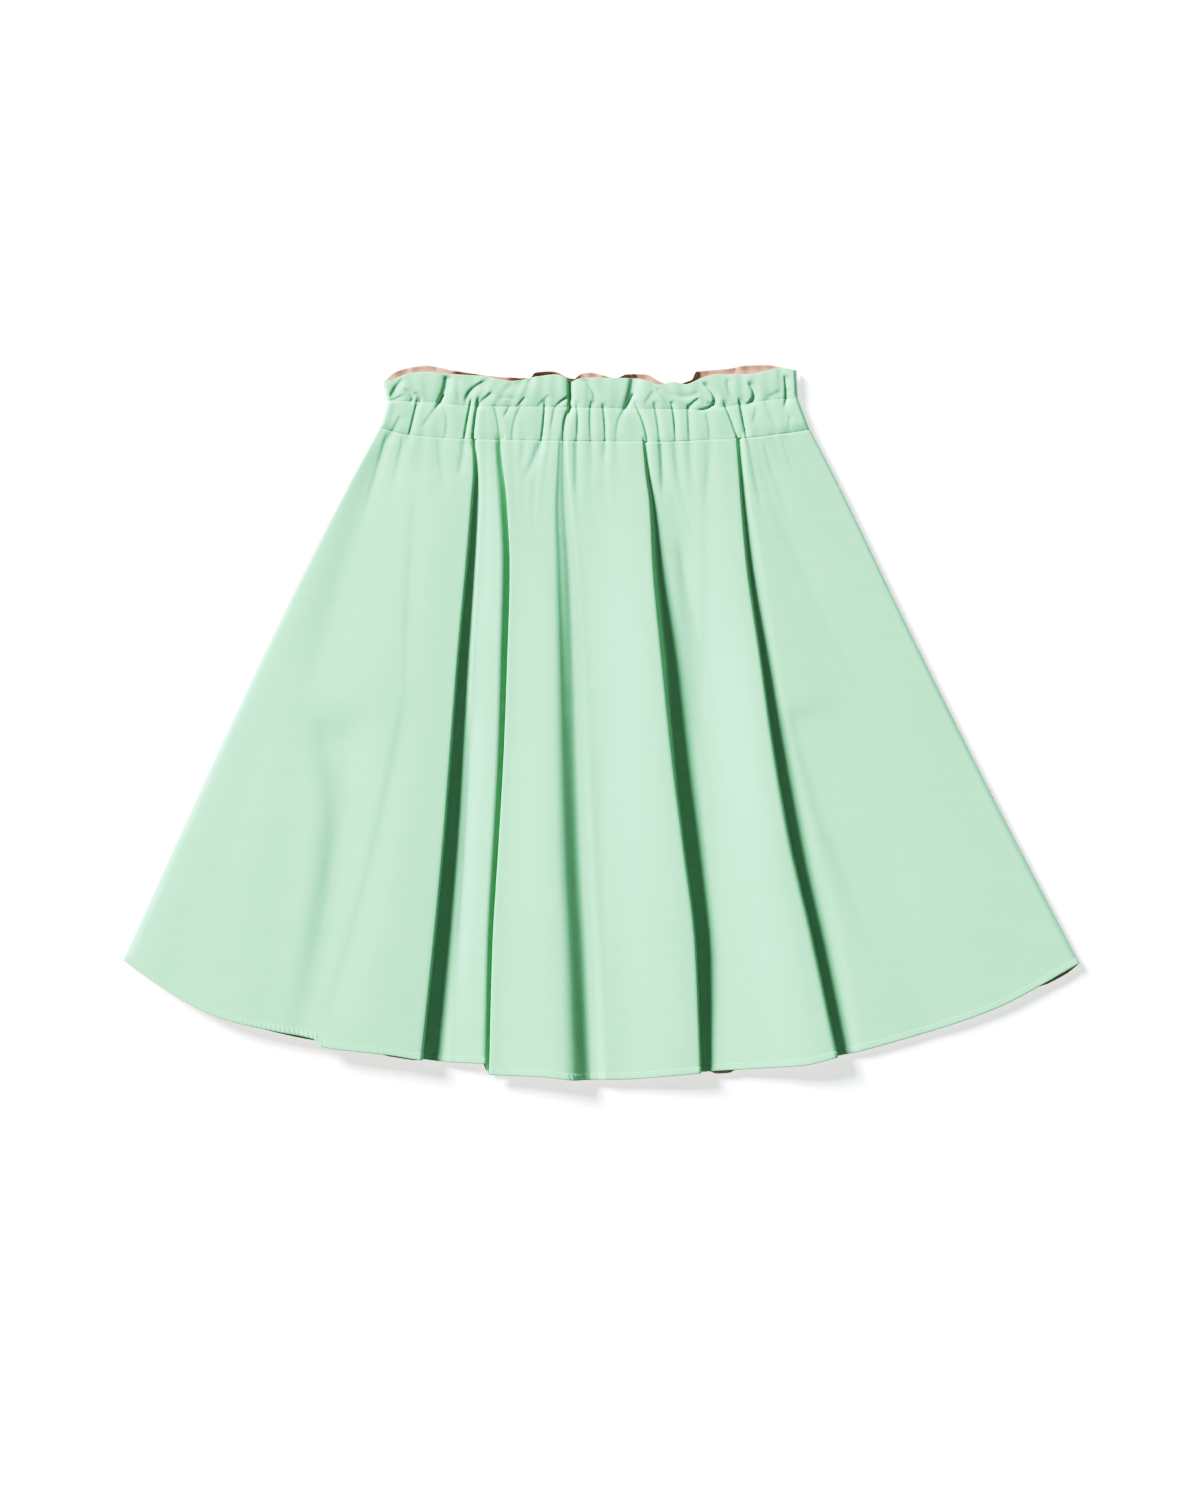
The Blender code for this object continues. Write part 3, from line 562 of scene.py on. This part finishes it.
def cotton(name, colour, shade, seed):
    """Plain-woven cotton: fine threads over and under, a little uneven in colour, with
    slubs along the weft and a soft, dry surface."""
    material, shader = new_material(name, {
        "Roughness": 0.88, "Specular IOR Level": 0.12, "Sheen Weight": 0.03,
        "Sheen Roughness": 0.5})
    nodes, links = material.node_tree.nodes, material.node_tree.links

    def node(kind, **settings):
        made = nodes.new(kind)
        for key, value in settings.items():
            setattr(made, key, value)
        return made

    def maths(operation, first, second):
        made = node("ShaderNodeMath", operation=operation)
        for socket, value in zip(made.inputs, (first, second)):
            if isinstance(value, (int, float)):
                socket.default_value = value
            else:
                links.new(value, socket)
        return made.outputs[0]

    place = node("ShaderNodeUVMap", uv_map="cloth").outputs[0]
    split = node("ShaderNodeSeparateXYZ")
    links.new(place, split.inputs[0])
    turns = 2 * np.pi / (THREAD_SPACING * MM)
    warp = maths("SINE", maths("MULTIPLY", split.outputs[0], turns), 0)
    weft = maths("SINE", maths("MULTIPLY", split.outputs[1], turns), 0)
    over = maths("MULTIPLY", warp, weft)

    def noise(number, scale_across, scale_along, detail):
        stretch = node("ShaderNodeMapping")
        stretch.inputs["Scale"].default_value = (scale_across, scale_along, 1)
        stretch.inputs["Location"].default_value = [number * step for step in NOISES_APART]
        links.new(place, stretch.inputs["Vector"])
        made = node("ShaderNodeTexNoise")
        made.inputs["Scale"].default_value = 1.0
        made.inputs["Detail"].default_value = detail
        links.new(stretch.outputs[0], made.inputs["Vector"])
        return made.outputs["Fac"]

    slubs = noise(seed, scale_across=14, scale_along=190, detail=2.0)
    mottle = noise(seed + 1, scale_across=30, scale_along=22, detail=3.0)
    fibre = noise(seed + 2, scale_across=2600, scale_along=2600, detail=2.0)
    loose = maths("SUBTRACT", fibre, 0.5)
    tone = maths("MULTIPLY", slubs, SLUB_SHARE)
    for part, size in ((mottle, MOTTLE_SHARE), (over, THREAD_SHARE), (loose, FIBRE_SHARE)):
        tone = maths("ADD", tone, maths("MULTIPLY", part, size))
    ramp = node("ShaderNodeValToRGB")
    for stop, position, shown in zip(ramp.color_ramp.elements, (SHADE_UP_TO, COLOUR_FROM),
                                     (shade, colour)):
        stop.position, stop.color = position, (*shown, 1)
    links.new(tone, ramp.inputs[0])
    links.new(ramp.outputs[0], shader.inputs["Base Color"])
    bump = node("ShaderNodeBump")
    bump.inputs["Strength"].default_value = WEAVE_STRENGTH
    bump.inputs["Distance"].default_value = WEAVE_HEIGHT
    relief = maths("ADD", over, maths("MULTIPLY", fibre, FIBRE_HEIGHT))
    links.new(relief, bump.inputs["Height"])
    links.new(bump.outputs[0], shader.inputs["Normal"])
    return material


MINT, MINT_SHADE = (0.490, 0.805, 0.570), (0.455, 0.780, 0.530)
mint = cotton("mint_cotton", MINT, MINT_SHADE, seed=1)
SEAM_TUCK = 0.45
GATHERED_TO, HEM_FROM = 0.10, 0.96
GATHERED_ROWS, PANEL_ROWS, HEM_ROWS = 27, 70, 12
front_shares = np.concatenate([np.linspace(0, GATHERED_TO, GATHERED_ROWS)[:-1],
                               np.linspace(GATHERED_TO, HEM_FROM, PANEL_ROWS)[:-1],
                               np.linspace(HEM_FROM, 1.0, HEM_ROWS)])
front_middle = front_surface(front_shares, FRONT_HEM)
tucked_in = front_middle[:1] + np.array([0, SEAM_TUCK, -SEAM_TUCK])
front_middle = np.concatenate([tucked_in, front_middle])
skirt_front = add_shell("outer_front", cloth_face(front_middle, CLOTH_FACE),
                        cloth_face(front_middle, CLOTH_FACE - CLOTH), mint)

# The hem of the outer front: the edge is turned under twice and stitched down 3 mm up.
# The stitches draw the cloth into small slanted puckers, strongest where it lies bunched.
HEM_HEIGHT, HEM_STITCH_HEIGHT, STITCH_PITCH = 3.8, 3.0, 2.9
HEM_PROUD, HEM_FINER = 0.10, 6
PUCKER_HEIGHT, PUCKER_SLANT = 0.32, 0.55
PUCKER_FADE, PUCKER_PAST_EDGE, PUCKER_AT_EDGE = 1.2, 0.5, 0.4
STITCH_DITCH, STITCH_DITCH_WIDTH = 0.14, 0.35
EDGE_TURNS_DOWN, LAST_TURNS_DOWN, LAST_TURNS_UP = 0.15, 0.40, 0.10
PUCKERED = [Spot(*row) for row in (
    (-296, 0.35), (-230, 0.45), (-212, 1), (-178, 1), (-165, 0.4),
    (-80, 0.3), (-28, 0.3), (-16, 1), (-6, 0.4), (50, 0.3), (64, 1),
    (72, 0.35), (138, 0.3), (152, 1), (168, 0.4), (296, 0.35))]
HEM_FROM_EDGE = np.array([HEM_HEIGHT, 3.4, 3.0, 2.6, 2.1, 1.6, 1.1, 0.6, 0.25, 0.0, -0.25])


def hem_strip(hem, pieces, from_edge):
    """Outer and inner face of the turned hem, as rows from its top to the edge."""
    length = WAIST_SEAM[3].along - hem[len(hem) // 2].along
    middle = front_surface(1 - from_edge / length, hem, pieces)
    walk = cloth_place(middle)[-1, :, 0]
    strength = follow(PUCKERED, middle[-1, :, 0])
    outer, inner = cloth_face(middle, CLOTH_FACE + HEM_PROUD), cloth_face(middle, -HEM_PROUD)
    for row, away in enumerate(from_edge):
        turns = walk / STITCH_PITCH + PUCKER_SLANT * away / STITCH_PITCH
        ridge = 0.5 + 0.5 * np.sin(2 * np.pi * turns)
        fade = (np.clip((HEM_HEIGHT - away) / PUCKER_FADE, 0, 1)
                * np.clip((away + PUCKER_PAST_EDGE) / PUCKER_FADE, PUCKER_AT_EDGE, 1))
        ditch = np.exp(-((away - HEM_STITCH_HEIGHT) / STITCH_DITCH_WIDTH) ** 2)
        outer[row, :, 2] += PUCKER_HEIGHT * strength * ridge * fade - STITCH_DITCH * ditch
        if away <= 0:
            outer[row, :, 2] -= EDGE_TURNS_DOWN if away == 0 else LAST_TURNS_DOWN
            inner[row, :, 2] += 0 if away == 0 else LAST_TURNS_UP
    return outer, inner


hem_outer, hem_inner = hem_strip(FRONT_HEM, FRONT_PIECES * HEM_FINER, HEM_FROM_EDGE)
hem_front = add_shell("hem_front", hem_outer, hem_inner, mint)
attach(hem_front, "root")

# Stitches: polyester thread in the cotton's colour, one short run of thread for each.
# A node tree sets them along a line drawn on the cloth.
STITCH_LENGTH, THREAD_WIDTH, STITCH_PROUD = 2.2 * MM, 0.32 * MM, 0.05
THREAD_DARK, THREAD_LIGHT = (0.44, 0.68, 0.50, 1), (0.60, 0.84, 0.66, 1)
mint_thread, shader = new_material("mint_thread", {
    "Roughness": 0.55, "Specular IOR Level": 0.3})
nodes, link = mint_thread.node_tree.nodes, mint_thread.node_tree.links.new
thread_place, thread_noise = nodes.new("ShaderNodeTexCoord"), nodes.new("ShaderNodeTexNoise")
thread_noise.inputs["Scale"].default_value = 900
thread_ramp = nodes.new("ShaderNodeValToRGB")
thread_ramp.color_ramp.elements[0].color = THREAD_DARK
thread_ramp.color_ramp.elements[1].color = THREAD_LIGHT
link(thread_place.outputs["Object"], thread_noise.inputs["Vector"])
link(thread_noise.outputs["Fac"], thread_ramp.inputs[0])
link(thread_ramp.outputs[0], shader.inputs["Base Color"])

STITCH_TREE = bpy.data.node_groups.new("stitches", "GeometryNodeTree")
for label, way, kind in (("Line", "INPUT", "Geometry"), ("Pitch", "INPUT", "Float"),
                         ("Length", "INPUT", "Float"), ("Width", "INPUT", "Float"),
                         ("Thread", "INPUT", "Material"), ("Stitches", "OUTPUT", "Geometry")):
    STITCH_TREE.interface.new_socket(label, in_out=way, socket_type="NodeSocket" + kind)
given, made, curve, spots, bead, size, place, real, smooth, finish = (
    STITCH_TREE.nodes.new(kind) for kind in (
        "NodeGroupInput", "NodeGroupOutput", "GeometryNodeMeshToCurve",
        "GeometryNodeCurveToPoints", "GeometryNodeMeshIcoSphere", "ShaderNodeCombineXYZ",
        "GeometryNodeInstanceOnPoints", "GeometryNodeRealizeInstances",
        "GeometryNodeSetShadeSmooth", "GeometryNodeSetMaterial"))
spots.mode = "LENGTH"
# Each stitch is a ball 1 across, drawn out to the size of one run of thread.
bead.inputs["Radius"].default_value = 0.5
bead.inputs["Subdivisions"].default_value = 1
for source, output, target, into in (
        (given, "Line", curve, 0), (curve, 0, spots, "Curve"),
        (given, "Pitch", spots, "Length"), (spots, "Points", place, "Points"),
        (spots, "Rotation", place, "Rotation"), (bead, "Mesh", place, "Instance"),
        (given, "Width", size, 0), (given, "Width", size, 1), (given, "Length", size, 2),
        (size, 0, place, "Scale"), (place, 0, real, 0), (real, 0, smooth, 0),
        (smooth, 0, finish, "Geometry"), (given, "Thread", finish, "Material"),
        (finish, 0, made, 0)):
    STITCH_TREE.links.new(source.outputs[output], target.inputs[into])


def sew(name, line):
    """A row of stitches along a line of points in millimetres, as a plain mesh."""
    mesh = bpy.data.meshes.new(name)
    edges = [(i, i + 1) for i in range(len(line) - 1)]
    mesh.from_pydata((line * MM).tolist(), edges, [])
    row = bpy.data.objects.new(name, mesh)
    bpy.context.scene.collection.objects.link(row)
    sewing = row.modifiers.new("sewing", "NODES")
    sewing.node_group = STITCH_TREE
    values = {"Pitch": STITCH_PITCH * MM, "Length": STITCH_LENGTH, "Width": THREAD_WIDTH,
              "Thread": mint_thread}
    for socket in STITCH_TREE.interface.items_tree:
        if socket.in_out == "INPUT" and socket.name in values:
            sewing[socket.identifier] = values[socket.name]
    seen = row.evaluated_get(bpy.context.evaluated_depsgraph_get())
    sewn = bpy.data.meshes.new_from_object(seen)
    row.modifiers.remove(sewing)
    row.data = sewn
    return row


stitch_row = int(np.argmin(abs(HEM_FROM_EDGE - HEM_STITCH_HEIGHT)))
hem_stitches = sew("hem_stitches", lifted(hem_outer[stitch_row], STITCH_PROUD))
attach(hem_stitches, "root")
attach(skirt_front, "root")
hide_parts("skirt_front")

# The front of the inner skirt: rose cotton cut like the outer one. It lies under the
# outer front's folds, follows them, and shows past the hem in a few places.
ROSE, ROSE_SHADE = (0.77, 0.49, 0.43), (0.69, 0.42, 0.36)
rose = cotton("rose_cotton", ROSE, ROSE_SHADE, seed=11)
INNER_DROP, INNER_ROWS, INNER_HEM_SPOTS = 0.7, 60, 240
COLUMNS_SHORT_OF_SIDE = 4
SHOWS_PAST_HEM = [Spot(*row) for row in (
    (-136, 0), (-130, 1), (-116, 0.9), (-111, 0), (66, 0), (71.5, 2),
    (79, 2), (84, 0), (268, 0), (277, 1.8), (288, 2.2), (295, 0.6))]
INNER_HEM = [Spot(across, follow(FRONT_HEM, across) - follow(SHOWS_PAST_HEM, across))
             for across in np.linspace(FRONT_HEM[0].across, FRONT_HEM[-1].across,
                                   INNER_HEM_SPOTS)]
inner_middle = front_surface(np.linspace(0, 1, INNER_ROWS), INNER_HEM)
inner_middle = inner_middle[:, COLUMNS_SHORT_OF_SIDE:-COLUMNS_SHORT_OF_SIDE]
lining_front = add_shell("inner_front", cloth_face(inner_middle, -INNER_DROP + CLOTH / 2),
                         cloth_face(inner_middle, -INNER_DROP - CLOTH / 2), rose)
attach(lining_front, "root")
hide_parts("lining_front")

# The backs of both skirts: plain flared panels, mint outside and rose inside, sewn to the
# fronts down the sides. They lie flat on the table, with the weight of the fronts on them.
BACK_HEM = [Spot(*row) for row in (
    (-295.5, -147.5), (-255, -173.5), (-214, -189), (-172.5, -198),
    (-100, -206.5), (-40, -215.5), (10, -217.5), (60, -215), (120, -209.5),
    (158, -202), (204, -191), (249.5, -174.5), (272, -162.8),
    (295.5, -150.0))]
BACK_OUTER_Z, BACK_INNER_Z, INNER_INSET = 0.5, 1.3, 2.8
BACK_TOP, OUTER_BACK_BOTTOM, INNER_BACK_BOTTOM = 0.3, -0.5, -0.3
BACK_ROWS, BACK_COLUMNS, BACK_SEAM_GAP = 60, 180, 0.15


def back_surface(shares, inset, height):
    t = np.linspace(0, 1, BACK_COLUMNS)
    lines = [between((along(LEFT_SIDE, share) + inset, along(RIGHT_SIDE, share) - inset), t)
             for share in shares]
    ends = [between((LEFT_SIDE[k] + inset, RIGHT_SIDE[k] - inset), t) for k in (0, -1)]
    seam_line = follow(WAIST_SEAM, ends[0]) - BACK_SEAM_GAP
    hem_line = follow(BACK_HEM, ends[1])
    rows = [np.stack([across, between((seam_line, hem_line), share),
                      np.full(BACK_COLUMNS, height)], -1)
            for across, share in zip(lines, shares)]
    return np.array(rows)


back_shares = np.linspace(0, 1, BACK_ROWS)
outer_back_middle = back_surface(back_shares, 0.0, BACK_OUTER_Z)
skirt_back = add_shell("outer_back", lifted(outer_back_middle, BACK_TOP),
                       lifted(outer_back_middle, OUTER_BACK_BOTTOM), mint)
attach(skirt_back, "root")
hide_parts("skirt_back")
inner_back_middle = back_surface(back_shares, INNER_INSET, BACK_INNER_Z)
lining_back = add_shell("inner_back", lifted(inner_back_middle, BACK_TOP),
                        lifted(inner_back_middle, INNER_BACK_BOTTOM), rose)
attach(lining_back, "root")
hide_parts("lining_back")


# The front of the waistband: a casing for the elastic, gathered by it, and above its
# neck stitching a free ruffle with a turned edge. It is folded out of the same mint cotton.
# Two free numbers place a point on it: casing runs 0 to 1 from the seam to the neck, then
# ruffle runs 0 to 1 from the neck to the free edge.
NECK = [Spot(*row) for row in (
    (-136, 199), (-101, 197.5), (-81.5, 195.5), (-44, 195), (49, 193.5),
    (65.5, 193.5), (86, 196.5), (112.5, 200), (123, 200.5))]
FRONT_RUFFLE_EDGE = [Spot(*row) for row in (
    (-135, 209.5), (-127.5, 212.2), (-117.5, 215.8), (-107.5, 216.3), (-97.5, 215.4),
    (-72.5, 213.9), (-55.5, 210.9), (-38, 213.9), (-28, 214.9), (-22, 212.9),
    (-20.6, 211.6), (-19.6, 210.3), (-13, 212.5), (-5, 212.9), (21.5, 212.5),
    (36.5, 208.4), (44, 210.4), (52.5, 208.9), (61, 212.3), (71, 214.9),
    (91, 214.9), (101, 216.9), (112, 218.9), (118.5, 217.9), (120.5, 213.5))]
BAND_LEFT = (-137.0, -132.0, -135.0)
BAND_RIGHT = (129.0, 121.5, 120.5)
BAND_SIDE_INSETS, BAND_SIDE_Z = np.array((0.0, 0.3, 0.8)), np.array((2.4, 4.4, 5.6))
BAND_SIDE = 1.8
CASING_Z, NECK_Z, RUFFLE_EDGE_Z = 6.9, 6.3, 7.4
BAND_LOWEST_Z = 3.4
EDGE_DROOP = 0.5
SEAM_GRIP, SEAM_RISE, SEAM_LEAST_Z = 0.3, 0.12, 5.6
BAND_SEAM_GAP = 0.05
WAVE_SHARE_CASING, WAVE_SHARE_RUFFLE, WAVES_PAST_ENDS = 0.12, 0.25, 1.0
SEAM_DITCH, NECK_DITCH, DITCH_WIDTH = 0.12, 0.12, 0.5
RUFFLE_CREASES = [Crease(*row) for row in (
    ((-121.5, 213.5), (-129, 203.5), (-131, 196.5), 0.95, 1.2, 2.4),
    ((-132, 198.5), (-127, 200), (-120, 203.5), 0.55, 0.7, 1.6),
    ((-123, 206), (-117, 200.7), (-121, 196.5), 0.6, 0.6, 1.6),
    ((-116, 203.5), (-112, 199.5), (-115.5, 193), 0.7, 0.6, 1.6),
    ((-96, 215), (-97.5, 204.5), (-103.5, 192), 1.7, 1.3, 3.6),
    ((-97.5, 203.5), (-100.3, 198.5), (-102.5, 193), 1.3, 0.6, 1.6),
    ((-88, 215), (-88.5, 204), (-85.5, 196), 0.55, 2, 3),
    ((-70, 211.5), (-81.8, 203.5), (-83, 194), 1.2, 1.1, 3),
    ((-66.5, 204.5), (-73.5, 198.8), (-78, 192.5), 0.9, 0.8, 2.6),
    ((-40, 213), (-51.5, 209.3), (-60, 204.5), 0.6, 1.8, 4),
    ((-63.5, 199.5), (-56.5, 200.2), (-49.5, 197), 0.3, 0.9, 1.4),
    ((-46.5, 201), (-49.5, 198.2), (-54.5, 192.5), 0.6, 0.6, 1.6),
    ((-32, 202.5), (-35.5, 199), (-41, 194), 0.5, 0.8, 2),
    ((-18.5, 201.5), (-24, 199), (-30, 193), 1, 0.6, 1.6),
    ((-20.4, 228), (-20.3, 206), (-20.2, 186.5), 3.6, 0.5, 3.8),
    ((-13.5, 212.5), (-5.3, 205), (-5, 192.5), 0.9, 1.1, 3),
    ((20, 228), (18.3, 205), (12, 189.5), 1.8, 2, 4),
    ((20, 204), (16.3, 197.5), (11, 189), 1.3, 0.6, 1.8),
    ((34, 207), (38.7, 200.3), (45, 193.5), 0.6, 0.9, 2.4),
    ((32.5, 205), (29.5, 200.5), (25.5, 195), 0.35, 1, 2),
    ((61.5, 204.5), (50.5, 201), (40, 205.5), 0.6, 1.4, 2.2),
    ((61.5, 210.5), (69.5, 201), (66, 194), 1.9, 0.65, 2.6),
    ((69.5, 198), (65.5, 194.3), (56.5, 192.5), 1.5, 0.6, 1.4),
    ((65, 197.5), (70, 195.8), (77.5, 194), 0.6, 0.7, 1.4),
    ((61, 200), (56.5, 197.3), (52.5, 192), 0.8, 0.8, 2),
    ((79, 213), (79.3, 205), (85, 196.5), 0.6, 1.4, 3),
    ((89.5, 211), (94, 201), (85.5, 194.5), 1.6, 0.8, 2.8),
    ((113, 216), (114.2, 202.5), (112.5, 192.5), 1.6, 0.8, 2.6),
    ((111.5, 205), (106, 202.3), (100, 199.5), 0.4, 1.2, 2),
    ((115, 206), (119, 202), (123.5, 199), 0.6, 0.7, 1.6))]


def band_place(casing, ruffle, seam, neck, edge):
    return between((between((seam, neck), casing), edge), ruffle)


def band_waves(across, casing, ruffle):
    """Soft waves of the gathers: 0 on the crests, and each gather's dip in its groove."""
    grooves = [band_place(casing, ruffle, gather.seam, gather.neck, gather.edge)
               for gather in GATHERS]
    ends = (band_place(casing, ruffle, *BAND_LEFT), band_place(casing, ruffle, *BAND_RIGHT))
    places = [ends[0], *grooves, ends[1]]
    crests = [(a + b) / 2 for a, b in zip(places, places[1:])]
    dips = [between((gather.casing_dip * WAVE_SHARE_CASING,
                     gather.ruffle_dip * WAVE_SHARE_RUFFLE), ruffle) for gather in GATHERS]
    knots = [place for pair in zip(crests, grooves) for place in pair] + [crests[-1]]
    depths = np.zeros(len(knots))
    depths[1::2] = dips
    first, last = ends[0] - WAVES_PAST_ENDS, ends[1] + WAVES_PAST_ENDS
    return eased([first, *knots, last], [0, *depths, 0], np.clip(across, first, last))


def band_rows(casing_rows, ruffle_rows, columns, inset):
    """The band's rows from the seam up, as (casing, ruffle, places across), and the places
    across at its seam, neck and edge."""
    steps = [(casing, 0.0) for casing in np.linspace(0, 1, casing_rows)]
    steps += [(1.0, ruffle) for ruffle in np.linspace(0, 1, ruffle_rows)[1:]]
    t = np.linspace(0, 1, columns)

    def spread(left, right):
        return between((left + inset, right - inset), t)

    rows = [(casing, ruffle, spread(band_place(casing, ruffle, *BAND_LEFT),
                                    band_place(casing, ruffle, *BAND_RIGHT)))
            for casing, ruffle in steps]
    return rows, [spread(left, right) for left, right in zip(BAND_LEFT, BAND_RIGHT)]


def front_band_surface(casing_rows, ruffle_rows, columns):
    """Middle surface of the front band: rows of points from the ruffle's edge down."""
    places, flat = band_rows(casing_rows, ruffle_rows, columns, BAND_SIDE)
    seam, neck = follow(WAIST_SEAM, flat[0]), follow(NECK, flat[1])
    edge = follow(FRONT_RUFFLE_EDGE, flat[2])
    seam_across, seam_height = smoothed(*front_section(0.0), FRONT_PIECES)
    seam_across = np.maximum.accumulate(seam_across)
    seam_height = np.maximum(seam_height + SEAM_RISE, SEAM_LEAST_Z)
    rows = []
    for casing, ruffle, across in places:
        up_the_skirt = band_place(casing, ruffle, seam - BAND_SEAM_GAP, neck, edge)
        bulge = (4 * casing * (1 - casing)) ** 0.5
        base = between((SEAM_Z, NECK_Z), casing) + (CASING_Z - SEAM_Z) * bulge
        rising = 1 - (1 - ruffle) ** 3
        base = between((base, RUFFLE_EDGE_Z), rising) - EDGE_DROOP * ruffle ** 4
        grip = np.clip(1 - casing / SEAM_GRIP, 0, 1) ** 2
        base = between((base, np.interp(across, seam_across, seam_height)), grip)
        height = base - (1 - grip) * band_waves(across, casing, ruffle)
        height = height - crease_depth(BAND_CREASES, across, up_the_skirt)
        seam_away = (up_the_skirt - seam) / DITCH_WIDTH
        neck_away = (up_the_skirt - neck) / DITCH_WIDTH
        height -= SEAM_DITCH * np.exp(-seam_away ** 2) + NECK_DITCH * np.exp(-neck_away ** 2)
        height = np.maximum(height, BAND_LOWEST_Z)
        left, right = across[0] - BAND_SIDE, across[-1] + BAND_SIDE
        across = np.concatenate([left + BAND_SIDE_INSETS, across,
                                 (right - BAND_SIDE_INSETS)[::-1]])
        height = np.concatenate([BAND_SIDE_Z, height, BAND_SIDE_Z[::-1]])
        up_the_skirt = np.pad(up_the_skirt, len(BAND_SIDE_Z), mode="edge")
        rows.append(np.stack([across, up_the_skirt, height], -1))
    return np.array(rows)[::-1]


def cloth_normals(surface):
    """The way that each point of a surface faces."""
    across, down = np.gradient(surface, axis=1), np.gradient(surface, axis=0)
    facing = np.cross(down, across)
    return facing / np.linalg.norm(facing, axis=-1, keepdims=True)


CASING_ROWS, RUFFLE_ROWS, BAND_COLUMNS = 46, 44, 500
BAND_OUT, BAND_IN, NECK_STITCH_OUT = 0.30, 0.10, 0.34
BAND_CREASES = GATHER_CREASES + CASING_CREASES + RUFFLE_CREASES
band_middle = front_band_surface(CASING_ROWS, RUFFLE_ROWS, BAND_COLUMNS)
band_out = cloth_normals(band_middle)
waistband_front = add_shell("band_front", band_middle + BAND_OUT * band_out,
                            band_middle - BAND_IN * band_out, mint)
neck_row, sides = RUFFLE_ROWS - 1, len(BAND_SIDE_INSETS)
neck_line = (band_middle + NECK_STITCH_OUT * band_out)[neck_row, sides:-sides]
neck_stitches = sew("neck_stitches", neck_line)
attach(neck_stitches, "root")
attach(waistband_front, "root")
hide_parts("waistband_front")

# The inside of the front casing and ruffle, in rose cotton, a hair under the mint.
FACING_CASING_ROWS, FACING_RUFFLE_ROWS, FACING_COLUMNS = 14, 16, 260
FACING_UNDER, FACING_CLOTH, COLUMNS_LEFT_OUT = 0.45, 0.35, 2
facing_middle = front_band_surface(FACING_CASING_ROWS, FACING_RUFFLE_ROWS, FACING_COLUMNS)
kept = slice(COLUMNS_LEFT_OUT, -COLUMNS_LEFT_OUT)
facing_out = cloth_normals(facing_middle)[:, kept]
facing_top = facing_middle[:, kept] - FACING_UNDER * facing_out
front_facing = add_shell("band_front_facing", facing_top,
                         facing_top - FACING_CLOTH * facing_out, rose)
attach(front_facing, "root")

# The back of the waistband lies flat on the table. Its ruffle lifts in small waves and
# in places its edge stands up, where its rose inside shows dark above the front.
BACK_RUFFLE_EDGE = [Spot(*row) for row in (
    (-134.5, 211.5), (-127.5, 217), (-117.5, 220), (-108.5, 221), (-90, 217.5),
    (-63, 214), (-44, 213), (-41.5, 216), (-38, 216.9), (-30.5, 217.2),
    (-17, 212.5), (-12.5, 216), (-7, 216.7), (9, 213), (16.5, 215.5),
    (27, 215.7), (36.5, 211), (44, 209), (56, 212), (58.5, 217),
    (80, 219.3), (88.5, 221), (102, 221.4), (117, 218.5))]
STANDING = [Spot(*row) for row in (
    (-135, 0.8), (-95, 0.8), (-90, 3.8), (-80, 3.4), (-72, 1), (-62, 1),
    (-56, 3.4), (-50, 3.4), (-38, 3.9), (-18, 3.6), (-13, 0.9), (-2, 0.9),
    (1.5, 3.4), (6, 3), (12, 3.6), (19, 3.4), (22, 0.9), (45, 1),
    (51, 3.6), (58, 3.2), (61, 0.9), (121, 0.8))]
STANDING_LENGTH, STANDING_CURVE = 3.6, 1.3
BACK_WAVE_RISE, DEEPEST_WAVE, BACK_END_FADE = 1.1, 1.0, 4.0
BACK_CASING_ROWS, BACK_RUFFLE_ROWS, BACK_BAND_COLUMNS = 12, 30, 300
BAND_FACING_INSET, BAND_FACING_TOP, BAND_FACING_BOTTOM = 2.0, 0.85, 0.45
BACK_CREASES = [Crease(*row) for row in (
    ((-119.5, 224), (-120, 214), (-119, 205), 0.8, 0.8, 2),
    ((-101.5, 224), (-102.5, 214), (-101, 205), 0.9, 0.8, 2),
    ((84, 224), (83.5, 214), (84, 205), 0.9, 0.8, 0.6),
    ((66, 222), (67, 212), (66, 204), 0.4, 1.2, 1))]


def back_band_surface(inset, base):
    """Middle surface of the back band: rows of points from the ruffle's edge down."""
    places, flat = band_rows(BACK_CASING_ROWS, BACK_RUFFLE_ROWS, BACK_BAND_COLUMNS, inset)
    seam = follow(WAIST_SEAM, flat[0]) + BACK_SEAM_GAP
    neck, edge = follow(NECK, flat[1]), follow(BACK_RUFFLE_EDGE, flat[2])
    rows = []
    for casing, ruffle, across in places:
        up_the_skirt = band_place(casing, ruffle, seam, neck, edge)
        standing = follow(STANDING, across)
        near_edge = np.clip(1 - (edge - up_the_skirt) / STANDING_LENGTH, 0, 1)
        depths = np.minimum(band_waves(across, 1.0, 1.0), DEEPEST_WAVE)
        rise = BACK_WAVE_RISE * ruffle * depths
        if ruffle > 0:
            rise = rise + standing * near_edge ** STANDING_CURVE
        rise = rise - near_edge * crease_depth(BACK_CREASES, across, up_the_skirt)
        from_ends = np.minimum(across - across[0], across[-1] - across)
        rise = rise * np.clip(from_ends / BACK_END_FADE, 0, 1)
        rows.append(np.stack([across, up_the_skirt, base + rise], -1))
    rows = np.array(rows)[::-1]
    rows[..., 2] = np.maximum(rows[..., 2], base)
    return rows


back_band = back_band_surface(0.0, BACK_OUTER_Z)
waistband_back = add_shell("band_back", lifted(back_band, BACK_TOP),
                           lifted(back_band, OUTER_BACK_BOTTOM), mint)
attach(waistband_back, "root")
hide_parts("waistband_back")
back_facing = back_band_surface(BAND_FACING_INSET, BACK_OUTER_Z)
waistband_facing = add_shell("band_back_facing", lifted(back_facing, BAND_FACING_TOP),
                             lifted(back_facing, BAND_FACING_BOTTOM), rose)
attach(waistband_facing, "root")
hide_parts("waistband_facing")
